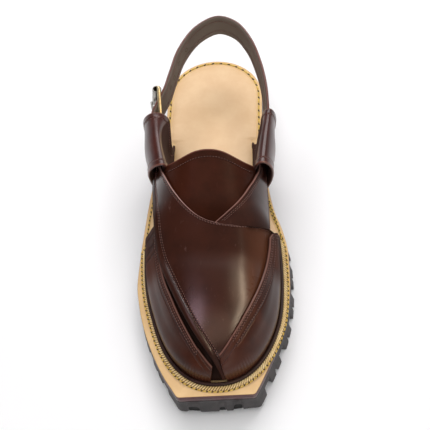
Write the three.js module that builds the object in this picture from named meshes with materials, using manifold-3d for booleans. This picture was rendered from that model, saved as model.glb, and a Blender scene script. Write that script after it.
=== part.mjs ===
// Norozi chappal, right foot: a leather sandal with crossed straps on a lugged, welted sole.
// Millimetres, +Z up, toe towards -Y, lateral side towards -X. The sole stands on z = 0.
import * as THREE from 'three';
import { mergeVertices } from 'three/addons/utils/BufferGeometryUtils.js';
import Module from 'manifold-3d';

const wasm = await Module();
wasm.setup();

const { lerp, clamp, smoothstep, degToRad } = THREE.MathUtils;

// Driving sizes
const SEAM = 0.3;                 // air between pieces that meet
const LEATHER = 2.0;              // wall of the upper
const LAP = 0.7;                  // how far lapped layers of the upper run into each other
const LATERAL = -1;
const MEDIAL = 1;
const SIDES = { lateral: LATERAL, medial: MEDIAL };
const CENTRE_SHIFT = -0.98;       // brings the middle of the whole shoe onto x = 0

const TOE_Y = -152.6;             // square toe edge of the welt
const TOE_SKEW = 0.8;             // the toe edge runs ahead on the lateral side
const TOE_FLARE = 0.6;
const HEEL_Y = 152;               // back of the heel
const HEEL_CENTRE = { x: 0.4, y: 112, width: 39.5 };
const WELT_THICK = 3.5;
const MIDSOLE_THICK = 4.5;
const INSOLE_THICK = 1.8;
const INSOLE_INSET = 5.2;         // welt border that shows round the insole
const ARCH_Y = 34;
const BREAST = { from: 55, to: 60 };

// Outline of the welt from above
const OUTLINE = [
  { y: TOE_Y, lateral: -23.6, medial: 30.2 },
  { y: -138, lateral: -33.2, medial: 36.6 },
  { y: -118, lateral: -42.8, medial: 45.0 },
  { y: -98, lateral: -50.0, medial: 51.9 },
  { y: -80, lateral: -54.4, medial: 55.6 },
  { y: -60, lateral: -57.0, medial: 57.0 },
  { y: -38, lateral: -56.0, medial: 56.6 },
  { y: -18, lateral: -54.2, medial: 53.0 },
  { y: 0, lateral: -52.2, medial: 47.0 },
  { y: 20, lateral: -49.4, medial: 43.2 },
  { y: 42, lateral: -45.4, medial: 40.6 },
  { y: 66, lateral: -41.4, medial: 39.4 },
  { y: 90, lateral: -39.6, medial: 39.6 },
  { y: HEEL_CENTRE.y, lateral: HEEL_CENTRE.x - HEEL_CENTRE.width, medial: HEEL_CENTRE.x + HEEL_CENTRE.width },
];

// Height of the welt's top along the foot: toe spring, flat ball, raised heel
const WELT_TOP = [
  { y: -155, z: 28.2 },
  { y: -138, z: 25.3 },
  { y: -112, z: 22.3 },
  { y: -80, z: 21.0 },
  { y: -50, z: 21.0 },
  { y: -20, z: 22.5 },
  { y: 10, z: 25.5 },
  { y: 40, z: 28.5 },
  { y: 80, z: 31.0 },
  { y: 155, z: 32.0 },
];

// Underside of the outsole, and how far its foot flares out past the welt on each side
const GROUND = [
  { y: -155, z: 7.4, lateral: 0.6, medial: 3.0 },
  { y: -138, z: 4.4, lateral: 0.6, medial: 3.0 },
  { y: -116, z: 1.0, lateral: 0.8, medial: 3.0 },
  { y: -98, z: 0.0, lateral: 0.9, medial: 3.0 },
  { y: -4, z: 0.0, lateral: 0.9, medial: 2.4 },
  { y: 16, z: 5.0, lateral: 0.8, medial: 1.4 },
  { y: ARCH_Y, z: 9.0, lateral: 0.8, medial: 0.9 },
  { y: BREAST.from, z: 9.5, lateral: 0.9, medial: 1.0 },
  { y: BREAST.to, z: 0.0, lateral: 1.2, medial: 1.4 },
  { y: 155, z: 0.0, lateral: 2.0, medial: 2.0 },
];

// Tread: side lugs parted by deep notches, a thin slit in the middle of each lug, two long grooves
const LUGS = {
  pitch: 25, notchOuter: 8, notchInner: 5, notchReach: 17, depth: 6,
  slitWide: 2.2, slitReach: 7, slitDepth: 3.5,
  forefoot: { from: -136, to: -8 }, heel: { from: 72, to: 140 },
};
const GROOVES = { wide: 5, depth: 4.5, inset: 21, runs: [{ from: -96, to: -12 }, { from: 70, to: 130 }] };
const TOE_NOTCHES = [
  { x: -13, wide: 10, deep: 5.5 },
  { x: 5, wide: 4, deep: 3.5 },
  { x: 17, wide: 7, deep: 4.5 },
];
const CUT_BELOW = -4;             // cutters start under the ground
const CUT_PAST = 6;               // and run out past the sole

// The last: ridge height over the welt, centre line and half width behind the ball
const BALL_Y = -43;
const FEATHER = { half: 49.2, length: 99.6, power: 2.2 };
const SECTION = { spread: 2.5, rise: 2.0, rim: 0.9995 };
const BULGE = { height: 1.7, waves: 6 };
const RIDGE = [
  { y: -146, height: 43.0, centre: 3.5 },
  { y: -100, height: 45.0, centre: 3.2 },
  { y: -70, height: 46.5, centre: 1.2 },
  { y: -55, height: 49.5, centre: 0.7 },
  { y: -40, height: 54.5, centre: 0.5 },
  { y: -25, height: 60.0, centre: 0.5 },
  { y: -10, height: 65.0, centre: 0.7 },
  { y: 8, height: 71.0, centre: 1.0 },
  { y: 34, height: 76.0, centre: 1.0 },
];
const INSTEP = [
  { y: BALL_Y, half: 49.2 },
  { y: -30, half: 49.0 },
  { y: -14, half: 47.0 },
  { y: 4, half: 45.8 },
  { y: 20, half: 45.0 },
  { y: ARCH_Y, half: 44.6 },
];

// Toe bands: rear ends at the base and at the top edge, toe ends in degrees round the toe
const BANDS = {
  lateral: { side: LATERAL, rearBase: -31, rearTop: -33, toeBase: 85.0, toeTop: 87.8 },
  medial: { side: MEDIAL, rearBase: -15, rearTop: -31, toeBase: 84.4, toeTop: 86.2 },
};
const STRAIGHT_RUN = 0.16;        // share of a band's run that lies behind the ball
const BAND_EDGE = [
  { run: 0.00, lateral: 0.745, medial: 0.885 },
  { run: STRAIGHT_RUN, lateral: 0.755, medial: 0.850 },
  { run: 0.28, lateral: 0.755, medial: 0.805 },
  { run: 0.50, lateral: 0.745, medial: 0.730 },
  { run: 0.70, lateral: 0.770, medial: 0.725 },
  { run: 0.86, lateral: 0.850, medial: 0.775 },
  { run: 1.00, lateral: 0.945, medial: 0.885 },
];
const HEM_CLIMB = { from: 0.5, to: 0.72 };
const LINING = { from: 0.05, to: 1.0, lap: 0.04, reach: 0.18, step: 1.0, dip: 2.4 };

// Vamp: its free lateral edge and the edge facing it (medial seam, corner, then the neck line)
const VAMP = [
  { lx: 7.6, ly: -140.5, mx: 10.4, my: -140.5 },
  { lx: 1.2, ly: -131.0, mx: 17.5, my: -134.0 },
  { lx: -7.0, ly: -119.5, mx: 27.5, my: -122.5 },
  { lx: -16.4, ly: -103.0, mx: 36.6, my: -105.0 },
  { lx: -22.6, ly: -90.0, mx: 43.0, my: -84.0 },
  { lx: -26.4, ly: -81.4, mx: 46.0, my: -60.0 },
  { lx: -29.4, ly: -74.0, mx: 46.2, my: -34.5 },
  { lx: -33.2, ly: -63.6, mx: 34.0, my: -40.6 },
  { lx: -35.6, ly: -54.0, mx: 21.0, my: -43.6 },
  { lx: -37.0, ly: -46.0, mx: 10.0, my: -43.2 },
  { lx: -38.0, ly: -37.0, mx: 0.6, my: -41.0 },
  { lx: -38.6, ly: -27.0, mx: -7.6, my: -37.0 },
  { lx: -39.4, ly: -16.0, mx: -16.8, my: -28.6 },
  { lx: -40.4, ly: -5.0, mx: -25.2, my: -16.6 },
  { lx: -41.0, ly: 7.0, mx: -31.8, my: -3.0 },
  { lx: -41.0, ly: 18.5, mx: -36.6, my: 10.0 },
  { lx: -41.0, ly: 30.0, mx: -39.4, my: 26.0 },
];
const VAMP_LIFT = { edge: 3.0, arm: 1.0, tipTo: 0.05, fadeFrom: 0.38, fadeTo: 0.6, fall: 3 };

// Medial strap, from inside the ear forward and under the vamp
const MEDIAL_STRAP = [
  { ux: 40.2, uy: 26.0, lx: 43.0, ly: 28.0 },
  { ux: 39.6, uy: 11.0, lx: 44.0, ly: 13.0 },
  { ux: 36.4, uy: -1.0, lx: 44.8, ly: 3.0 },
  { ux: 31.6, uy: -11.6, lx: 45.2, ly: -7.0 },
  { ux: 27.7, uy: -19.6, lx: 45.4, ly: -15.0 },
  { ux: 23.0, uy: -27.0, lx: 45.6, ly: -23.0 },
  { ux: 13.0, uy: -35.6, lx: 45.6, ly: -32.0 },
  { ux: 4.2, uy: -43.6, lx: 45.0, ly: -41.5 },
  { ux: -2.0, uy: -56.0, lx: 42.0, ly: -55.0 },
];

// Tongue: saddle under both straps, with a crowned rear edge
const TONGUE = [
  { lx: -22.0, mx: 20.0, y: -50.0, crown: 0.0 },
  { lx: -30.0, mx: 33.0, y: -42.0, crown: 0.0 },
  { lx: -36.0, mx: 39.0, y: -26.0, crown: 0.5 },
  { lx: -37.0, mx: 40.0, y: -10.0, crown: 2.0 },
  { lx: -35.0, mx: 38.0, y: 3.6, crown: 5.4 },
];
const TONGUE_CREST = 3;           // power of the crown: hollow at the sides, round in the middle
const TONGUE_STEP = { from: 0.35, to: 0.65 };

// Ears: folded loops that hold the straps, a row at the front lip, the middle and the rear mouth
const EAR_THICK = 2.2;
const EAR_LEG = 0.6;              // share of each half that is leg, the rest is fold
const HOLLOW_TOP = 0.8;           // the rear edge of the inner leg is hollow up to here
const EARS = {
  lateral: [
    { ridgeX: -33.4, ridgeY: 7, ridgeZ: 80.6, innerX: -29.6, outerX: -46.8, shoulderZ: 60,
      footY: 22, innerFoot: -31.9, outerFoot: -44.0, hollow: 0 },
    { ridgeX: -37.6, ridgeY: 31, ridgeZ: 80.6, innerX: -34.6, outerX: -50.2, shoulderZ: 61,
      footY: 41, innerFoot: -31.9, outerFoot: -41.0, hollow: 0 },
    { ridgeX: -41.0, ridgeY: 57, ridgeZ: 78.6, innerX: -31.4, outerX: -52.2, shoulderZ: 65,
      footY: 61, innerFoot: -31.9, outerFoot: -38.2, hollow: 13 },
  ],
  medial: [
    { ridgeX: 39.4, ridgeY: 7, ridgeZ: 78.8, innerX: 32.4, outerX: 47.6, shoulderZ: 61,
      footY: 20, innerFoot: 30.9, outerFoot: 40.2, hollow: 0 },
    { ridgeX: 42.2, ridgeY: 31, ridgeZ: 78.6, innerX: 34.8, outerX: 49.2, shoulderZ: 62,
      footY: 40, innerFoot: 30.9, outerFoot: 37.8, hollow: 0 },
    { ridgeX: 45.6, ridgeY: 57, ridgeZ: 77.8, innerX: 39.8, outerX: 50.4, shoulderZ: 66,
      footY: 61, innerFoot: 30.9, outerFoot: 36.8, hollow: 9 },
  ],
};
const EAR_NOTCH = { from: 17, to: 64, lateral: -31.2, medial: 30.2, outside: 60 };

// Heel strap, from the lateral ear through the buckle, round the heel, into the medial ear
const STRAP = { width: 18, thick: 3.0, spread: 0.12 };
const STRAP_PATH = [
  { x: -45.0, y: 45, top: 70.6 },
  { x: -44.6, y: 60, top: 73.6 },
  { x: -35.0, y: 81, top: 79.6 },
  { x: -30.8, y: 95, top: 82.6 },
  { x: -24.0, y: 115, top: 87.0 },
  { x: -10.5, y: 134, top: 91.0 },
  { x: 6.5, y: 142.5, top: 92.6 },
  { x: 21.5, y: 136, top: 92.0 },
  { x: 32.5, y: 121, top: 88.8 },
  { x: 39.6, y: 102, top: 83.4 },
  { x: 43.6, y: 82, top: 78.4 },
  { x: 44.8, y: 60, top: 73.4 },
  { x: 44.4, y: 46, top: 71.0 },
];

// Buckle: wire frame, roller on its far bar, prong through the strap
const WIRE = 1.25;
const FRAME_CORNERS = [
  { x: -37.8, y: 54.5, z: 72.0 },
  { x: -39.4, y: 80.5, z: 83.0 },
  { x: -42.4, y: 80.5, z: 60.4 },
  { x: -40.6, y: 54.5, z: 52.0 },
];
const FRAME_CORNER_RADIUS = 2.6;
const ROLLER = { outer: 3.5, inner: 2.8, long: 16.5 };
const PRONG = { radius: 0.9, from: { x: -40.4, y: 57.3, z: 63.0 }, to: { x: -46.6, y: 77.0, z: 68.0 } };

// Rand: round cord at the foot of the bands
const RAND_RADIUS = 1.2;

// How finely each piece is cut into facets
const SOLE_STEP = 9;
const HEEL_STEPS = 9;
const HEEL_END = 0.97;
const STATION_GAP = 2;
const BAND_STEPS = { u: 26, v: 6 };
const LINING_STEPS = { u: 20, v: 3 };
const VAMP_STEPS = { u: 36, v: 10 };
const STRAP_STEPS = { u: 15, v: 6 };
const TONGUE_STEPS = { u: 9, v: 12 };
const EAR_STEPS = { u: 8, v: 22 };
const RAND_STEPS = 44;
const INSOLE_STEPS = 40;
const HEEL_STRAP_STEPS = 48;
const CORNER_STEPS = 4;
const CORD_SIDES = 8;
const WIRE_SIDES = 10;
const ROLLER_SIDES = 20;
const WELD = 1e-4;

// Smooth curve through a short table: monotone cubic between its rows
function curveOf(rows, key, column) {
  const at = rows.map((row) => row[key]);
  const value = rows.map((row) => row[column]);
  const last = rows.length - 1;
  const slope = (i) => (value[i + 1] - value[i]) / (at[i + 1] - at[i]);
  const tangent = value.map((_, i) => {
    if (i === 0) return slope(0);
    if (i === last) return slope(last - 1);
    const before = slope(i - 1);
    const after = slope(i);
    return before * after <= 0 ? 0 : (2 * before * after) / (before + after);
  });
  return (x) => {
    const place = clamp(x, at[0], at[last]);
    let i = 0;
    while (i < last - 1 && place > at[i + 1]) i += 1;
    const span = at[i + 1] - at[i];
    const t = (place - at[i]) / span;
    const rise = (1 - t) * (1 - t);
    const fall = t * t;
    return value[i] * (1 + 2 * t) * rise + value[i + 1] * (3 - 2 * t) * fall
      + span * (tangent[i] * t * rise - tangent[i + 1] * (1 - t) * fall);
  };
}

// Smooth curve through rows taken at even steps of u from 0 to 1
function rowsCurve(rows, column) {
  const stepped = rows.map((row, i) => ({ u: i / (rows.length - 1), value: row[column] }));
  return curveOf(stepped, 'u', 'value');
}

const vector = ({ x, y, z }) => new THREE.Vector3(x, y, z);

// Closed geometry from vertices and triangles
function geometryOf(points, triangles) {
  const geometry = new THREE.BufferGeometry();
  const numbers = points.flatMap((p) => [p.x, p.y, p.z]);
  geometry.setAttribute('position', new THREE.Float32BufferAttribute(numbers, 3));
  geometry.setIndex(triangles.flat());
  return geometry;
}

// Solid between two matched grids of points, the outer one seen counter-clockwise from outside
function gridSolid(outer, inner) {
  const rows = outer.length;
  const columns = outer[0].length;
  const points = [...outer.flat(), ...inner.flat()];
  const top = (i, j) => i * columns + j;
  const low = (i, j) => rows * columns + i * columns + j;
  const triangles = [];
  const quad = (a, b, c, d) => triangles.push([a, b, c], [a, c, d]);
  for (let i = 0; i + 1 < rows; i += 1) {
    for (let j = 0; j + 1 < columns; j += 1) {
      quad(top(i, j), top(i + 1, j), top(i + 1, j + 1), top(i, j + 1));
      quad(low(i, j), low(i, j + 1), low(i + 1, j + 1), low(i + 1, j));
    }
    quad(top(i, 0), low(i, 0), low(i + 1, 0), top(i + 1, 0));
    const edge = columns - 1;
    quad(top(i, edge), top(i + 1, edge), low(i + 1, edge), low(i, edge));
  }
  for (let j = 0; j + 1 < columns; j += 1) {
    const end = rows - 1;
    quad(top(0, j), top(0, j + 1), low(0, j + 1), low(0, j));
    quad(top(end, j), low(end, j), low(end, j + 1), top(end, j + 1));
  }
  return geometryOf(points, triangles);
}

// Solid from rings of points with flat ends, or closed on itself
function ringSolid(rings, closed = false) {
  const sides = rings[0].length;
  const points = rings.flat();
  const triangles = [];
  const at = (i, k) => (i % rings.length) * sides + (k % sides);
  const steps = closed ? rings.length : rings.length - 1;
  for (let i = 0; i < steps; i += 1) {
    for (let k = 0; k < sides; k += 1) {
      triangles.push([at(i, k), at(i, k + 1), at(i + 1, k + 1)]);
      triangles.push([at(i, k), at(i + 1, k + 1), at(i + 1, k)]);
    }
  }
  if (!closed) {
    const end = rings.length - 1;
    for (let k = 1; k + 1 < sides; k += 1) {
      triangles.push([at(0, 0), at(0, k + 1), at(0, k)]);
      triangles.push([at(end, 0), at(end, k), at(end, k + 1)]);
    }
  }
  return geometryOf(points, triangles);
}

// Round cord along a list of points
function cordSolid(path, radius, sides, closed = false) {
  const count = path.length;
  const upright = 0.9;
  const at = (i) => (closed ? path[(i + count) % count] : path[clamp(i, 0, count - 1)]);
  let side = null;
  const rings = path.map((centre, i) => {
    const along = at(i + 1).clone().sub(at(i - 1)).normalize();
    const first = Math.abs(along.z) < upright ? new THREE.Vector3(0, 0, 1) : new THREE.Vector3(1, 0, 0);
    const start = side ?? first;
    side = start.clone().addScaledVector(along, -start.dot(along)).normalize();
    const across = new THREE.Vector3().crossVectors(along, side);
    return Array.from({ length: sides }, (_, k) => {
      const angle = (2 * Math.PI * k) / sides;
      return centre.clone()
        .addScaledVector(side, radius * Math.cos(angle))
        .addScaledVector(across, radius * Math.sin(angle));
    });
  });
  return ringSolid(rings, closed);
}

// Prism standing on a plan outline
function prism(corners, bottom, top) {
  const shape = new THREE.Shape(corners.map(([x, y]) => new THREE.Vector2(x, y)));
  const geometry = new THREE.ExtrudeGeometry(shape, { depth: top - bottom, bevelEnabled: false });
  return geometry.translate(0, 0, bottom);
}

// Boolean solids
function solidOf(geometry) {
  const bare = geometry.clone();
  bare.deleteAttribute('normal');
  bare.deleteAttribute('uv');
  const merged = mergeVertices(bare, WELD);
  const vertProperties = new Float32Array(merged.attributes.position.array);
  const triVerts = new Uint32Array(merged.index.array);
  return new wasm.Manifold(new wasm.Mesh({ numProp: 3, vertProperties, triVerts }));
}

function geometryFrom(solid) {
  const mesh = solid.getMesh();
  const geometry = new THREE.BufferGeometry();
  geometry.setAttribute('position', new THREE.Float32BufferAttribute(mesh.vertProperties, 3));
  geometry.setIndex(new THREE.Uint32BufferAttribute(mesh.triVerts, 1));
  return geometry;
}

const cutFrom = (geometry, cutters) => geometryFrom(
  cutters.reduce((solid, cutter) => solid.subtract(solidOf(cutter)), solidOf(geometry)),
);
const joined = (geometries) => geometryFrom(
  geometries.map(solidOf).reduce((whole, piece) => whole.add(piece)),
);

// Sole outline and levels
const outlineEdge = { lateral: curveOf(OUTLINE, 'y', 'lateral'), medial: curveOf(OUTLINE, 'y', 'medial') };
const flareAt = { lateral: curveOf(GROUND, 'y', 'lateral'), medial: curveOf(GROUND, 'y', 'medial') };
const weltTop = curveOf(WELT_TOP, 'y', 'z');
const groundZ = curveOf(GROUND, 'y', 'z');

// Both edges of the sole at a station, with the round of the heel
function soleEdges(y) {
  const past = (y - HEEL_CENTRE.y) / (HEEL_Y - HEEL_CENTRE.y);
  if (past <= 0) return { lateral: outlineEdge.lateral(y), medial: outlineEdge.medial(y) };
  const half = HEEL_CENTRE.width * Math.sqrt(Math.max(0, 1 - past * past));
  return { lateral: HEEL_CENTRE.x - half, medial: HEEL_CENTRE.x + half };
}

// Stations along the sole: even steps, the heel breast, then even angles round the heel
function soleStations() {
  const count = Math.round((HEEL_CENTRE.y - TOE_Y) / SOLE_STEP);
  const even = Array.from({ length: count }, (_, i) => lerp(TOE_Y, HEEL_CENTRE.y, i / count));
  const breast = [ARCH_Y, BREAST.from, BREAST.to];
  const round = Array.from({ length: HEEL_STEPS + 1 }, (_, i) => {
    const angle = (Math.PI / 2) * HEEL_END * (i / HEEL_STEPS);
    return lerp(HEEL_CENTRE.y, HEEL_Y, Math.sin(angle));
  });
  const apart = even.filter((y) => breast.every((b) => Math.abs(b - y) > STATION_GAP));
  return [...apart, ...breast, ...round].sort((a, b) => a - b);
}

// Edge points of a row, moved outward in plan; the toe row keeps its own line
function rowEdges(stations, i, outward) {
  const y = stations[i];
  const before = stations[Math.max(0, i - 1)];
  const after = stations[Math.min(stations.length - 1, i + 1)];
  const move = (side) => {
    const sign = SIDES[side];
    const along = new THREE.Vector2(soleEdges(after)[side] - soleEdges(before)[side], after - before);
    const normal = new THREE.Vector2(along.y * sign, -along.x * sign).normalize();
    const place = new THREE.Vector2(soleEdges(y)[side], y).addScaledVector(normal, outward[side]);
    if (i === 0) place.y = y - outward.toe + sign * TOE_SKEW;
    return place;
  };
  return { lateral: move('lateral'), medial: move('medial') };
}

// One layer of the sole between two levels; the foot of the layer may flare
function soleLayer(topZ, footZ, flare) {
  const stations = soleStations();
  const straight = { lateral: 0, medial: 0, toe: 0 };
  const rings = stations.map((y, i) => {
    const top = rowEdges(stations, i, straight);
    const foot = rowEdges(stations, i, flare ? flare(y) : straight);
    return [
      new THREE.Vector3(top.medial.x, top.medial.y, topZ(y)),
      new THREE.Vector3(foot.medial.x, foot.medial.y, footZ(y)),
      new THREE.Vector3(foot.lateral.x, foot.lateral.y, footZ(y)),
      new THREE.Vector3(top.lateral.x, top.lateral.y, topZ(y)),
    ];
  });
  return ringSolid(rings);
}

// Notch or slit from the side of the sole inward, wider at its mouth
function sideCut(side, y, outerWide, innerWide, reach, depth) {
  const edge = soleEdges(y)[side];
  const outer = edge + SIDES[side] * CUT_PAST;
  const inner = edge - SIDES[side] * reach;
  const corners = [
    [outer, y - outerWide / 2], [outer, y + outerWide / 2],
    [inner, y + innerWide / 2], [inner, y - innerWide / 2],
  ];
  return prism(corners, CUT_BELOW, groundZ(y) + depth);
}

// Side notches and slits of one zone of the tread
function lugCutters(zone) {
  const count = Math.floor((zone.to - zone.from) / LUGS.pitch);
  return Array.from({ length: count + 1 }, (_, i) => zone.from + i * LUGS.pitch).flatMap((y) => {
    const slitY = y + LUGS.pitch / 2;
    return Object.keys(SIDES).flatMap((side) => {
      const notch = sideCut(side, y, LUGS.notchOuter, LUGS.notchInner, LUGS.notchReach, LUGS.depth);
      const slit = sideCut(side, slitY, LUGS.slitWide, LUGS.slitWide, LUGS.slitReach, LUGS.slitDepth);
      return slitY < zone.to ? [notch, slit] : [notch];
    });
  });
}

// Long grooves under the flats of the forefoot and the heel
function grooveCutters() {
  return GROOVES.runs.flatMap(({ from, to }) => Object.entries(SIDES).map(([side, sign]) => {
    const start = soleEdges(from)[side] - sign * GROOVES.inset;
    const end = soleEdges(to)[side] - sign * GROOVES.inset;
    const wide = -sign * GROOVES.wide;
    const corners = [[start, from], [start + wide, from], [end + wide, to], [end, to]];
    return prism(corners, CUT_BELOW, GROOVES.depth);
  }));
}

// Notches in the face of the toe
function toeCutters() {
  const front = TOE_Y - CUT_PAST;
  const back = TOE_Y + CUT_PAST;
  return TOE_NOTCHES.map(({ x, wide, deep }) => {
    const left = x - wide / 2;
    const right = x + wide / 2;
    const corners = [[left, front], [right, front], [right, back], [left, back]];
    return prism(corners, CUT_BELOW, groundZ(TOE_Y) + deep);
  });
}

const midsoleTop = (y) => weltTop(y) - WELT_THICK;
const outsoleTop = (y) => midsoleTop(y) - MIDSOLE_THICK;

function outsole() {
  const flare = (y) => ({ lateral: flareAt.lateral(y), medial: flareAt.medial(y), toe: TOE_FLARE });
  const block = soleLayer((y) => outsoleTop(y) - SEAM, groundZ, flare);
  return cutFrom(block, [
    ...lugCutters(LUGS.forefoot), ...lugCutters(LUGS.heel), ...grooveCutters(), ...toeCutters(),
  ]);
}

const midsole = () => soleLayer((y) => midsoleTop(y) - SEAM, outsoleTop);
const welt = () => soleLayer(weltTop, midsoleTop);

// The last
const ridgeHeight = curveOf(RIDGE, 'y', 'height');
const ridgeCentre = curveOf(RIDGE, 'y', 'centre');
const instepHalf = curveOf(INSTEP, 'y', 'half');

// Share of the way from the ridge (0) out to the feather line (1)
function lastRadius(x, y) {
  const across = Math.abs(x - ridgeCentre(y));
  if (y >= BALL_Y) return across / instepHalf(y);
  const ahead = (BALL_Y - y) / FEATHER.length;
  return ((across / FEATHER.half) ** FEATHER.power + ahead ** FEATHER.power) ** (1 / FEATHER.power);
}

const lastRise = (radius) => (1 - Math.min(radius, SECTION.rim) ** SECTION.spread) ** (1 / SECTION.rise);

// Top of the last over a place in plan
function lastPoint(x, y) {
  const height = ridgeHeight(y) * lastRise(lastRadius(x, y));
  return new THREE.Vector3(x, y, weltTop(y) + SEAM + height);
}

// Outward normal of a surface given by two parameters
function normalOf(surface, u, v) {
  const h = 1e-3;
  const along = surface(Math.min(1, u + h), v).sub(surface(Math.max(0, u - h), v));
  const across = surface(u, Math.min(1, v + h)).sub(surface(u, Math.max(0, v - h)));
  return along.cross(across).normalize();
}

// Leather wall on a surface: down from offset over(u, v) along its normal by a thickness, clear of the welt
function leather(surface, steps, over, thick, turned) {
  const rows = Array.from({ length: steps.u + 1 }, (_, i) => i / steps.u);
  const columns = Array.from({ length: steps.v + 1 }, (_, j) => j / steps.v);
  const grid = (drop) => rows.map((u) => columns.map((v) => {
    const offset = (over(u, v) - drop) * turned;
    const point = surface(u, v).addScaledVector(normalOf(surface, u, v), offset);
    return point.setZ(Math.max(point.z, weltTop(point.y) + SEAM));
  }));
  return turned > 0 ? gridSolid(grid(0), grid(thick)) : gridSolid(grid(thick), grid(0));
}

const bandEdge = { lateral: curveOf(BAND_EDGE, 'run', 'lateral'), medial: curveOf(BAND_EDGE, 'run', 'medial') };

// Place in plan on the last: run 0 at a band's rear end, 1 at its toe end
function featherPlan(band, run, up, radius) {
  if (run <= STRAIGHT_RUN) {
    const y = lerp(lerp(band.rearBase, band.rearTop, up), BALL_Y, run / STRAIGHT_RUN);
    return { x: ridgeCentre(y) + band.side * radius * instepHalf(y), y };
  }
  const end = lerp(band.toeBase, band.toeTop, up);
  const angle = degToRad(end * ((run - STRAIGHT_RUN) / (1 - STRAIGHT_RUN)));
  const y = BALL_Y - radius * FEATHER.length * Math.sin(angle) ** (2 / FEATHER.power);
  const across = radius * FEATHER.half * Math.cos(angle) ** (2 / FEATHER.power);
  return { x: ridgeCentre(y) + band.side * across, y };
}

const bandRadius = (name, run, up) => 1 - (1 - bandEdge[name](run)) * up * up;

// Surface of a toe band
function bandSurface(name) {
  return (run, up) => {
    const plan = featherPlan(BANDS[name], run, up, bandRadius(name, run, up));
    return lastPoint(plan.x, plan.y);
  };
}

// Bulge of a band over the rand
function bandBulge(name, run, up) {
  const angle = Math.asin(lastRise(bandRadius(name, run, up))) * BULGE.waves;
  return angle < Math.PI ? BULGE.height * Math.sin(angle) ** 2 : 0;
}

function lateralBand() {
  const over = (run, up) => bandBulge('lateral', run, up);
  return leather(bandSurface('lateral'), BAND_STEPS, over, LEATHER, LATERAL * -1);
}

// The medial band climbs over the vamp at its hem
function medialBand() {
  const climb = (up) => (LEATHER - LAP) * smoothstep(up, HEM_CLIMB.from, HEM_CLIMB.to);
  const over = (run, up) => bandBulge('medial', run, up) + climb(up);
  return leather(bandSurface('medial'), BAND_STEPS, over, LEATHER, MEDIAL * -1);
}

// Lining of the lateral band, dipping under the free edge of the vamp
function lateralLining() {
  const surface = (u, v) => {
    const run = lerp(LINING.from, LINING.to, u);
    const radius = bandEdge.lateral(run) + LINING.lap - LINING.reach * v;
    const plan = featherPlan(BANDS.lateral, run, 1, radius);
    return lastPoint(plan.x, plan.y);
  };
  const over = (u, v) => -LINING.step - LINING.dip * v;
  return leather(surface, LINING_STEPS, over, LEATHER, LATERAL * -1);
}

// Patch of the last between two plan curves
function planPatch(rows, from, to) {
  const ax = rowsCurve(rows, from.x);
  const ay = rowsCurve(rows, from.y);
  const bx = rowsCurve(rows, to.x);
  const by = rowsCurve(rows, to.y);
  return (u, v) => lastPoint(lerp(ax(u), bx(u), v), lerp(ay(u), by(u), v));
}

// Vamp: its lateral edge stands off the last as a free lip
function vamp() {
  const surface = planPatch(VAMP, { x: 'lx', y: 'ly' }, { x: 'mx', y: 'my' });
  const lift = (u) => {
    const toArm = smoothstep(u, VAMP_LIFT.fadeFrom, VAMP_LIFT.fadeTo);
    return lerp(VAMP_LIFT.edge, VAMP_LIFT.arm, toArm) * smoothstep(u, 0, VAMP_LIFT.tipTo);
  };
  const over = (u, v) => lift(u) * (1 - v) ** VAMP_LIFT.fall;
  return leather(surface, VAMP_STEPS, over, LEATHER, -1);
}

function medialStrap() {
  const surface = planPatch(MEDIAL_STRAP, { x: 'ux', y: 'uy' }, { x: 'lx', y: 'ly' });
  return leather(surface, STRAP_STEPS, () => LAP - LEATHER, LEATHER, 1);
}

// Tongue: under the vamp on the lateral side, a layer lower under the medial strap
function tongue() {
  const lx = rowsCurve(TONGUE, 'lx');
  const mx = rowsCurve(TONGUE, 'mx');
  const row = rowsCurve(TONGUE, 'y');
  const crown = rowsCurve(TONGUE, 'crown');
  const surface = (u, v) => {
    const arch = Math.sin(Math.PI * v) ** TONGUE_CREST;
    return lastPoint(lerp(lx(u), mx(u), v), row(u) + crown(u) * arch);
  };
  const down = (v) => (LEATHER - LAP) * smoothstep(v, TONGUE_STEP.from, TONGUE_STEP.to);
  const over = (u, v) => 2 * LAP - LEATHER - down(v);
  return leather(surface, TONGUE_STEPS, over, LEATHER, -1);
}

const upper = () => joined([vamp(), lateralBand(), lateralLining(), medialBand(), medialStrap(), tongue()]);

// Rand: a cord laid against the foot of the bands, all round the toe
function rand() {
  const out = RAND_RADIUS + SEAM;
  const half = FEATHER.half + out;
  const length = FEATHER.length + out;
  const point = (x, y) => new THREE.Vector3(x, y, weltTop(y) + SEAM + RAND_RADIUS);
  const straight = (side, rear) => [0, 0.5].map((t) => {
    const y = lerp(rear, BALL_Y, t);
    return point(ridgeCentre(y) + side * (instepHalf(y) + out), y);
  });
  const round = Array.from({ length: RAND_STEPS + 1 }, (_, i) => {
    const angle = Math.PI * (i / RAND_STEPS);
    const y = BALL_Y - length * Math.sin(angle) ** (2 / FEATHER.power);
    const across = -Math.sign(Math.cos(angle)) * Math.abs(Math.cos(angle)) ** (2 / FEATHER.power);
    return point(ridgeCentre(y) + half * across, y);
  });
  const lateral = straight(LATERAL, BANDS.lateral.rearBase);
  const medial = straight(MEDIAL, BANDS.medial.rearBase);
  return cordSolid([...lateral, ...round, ...medial.reverse()], RAND_RADIUS, CORD_SIDES);
}

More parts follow.
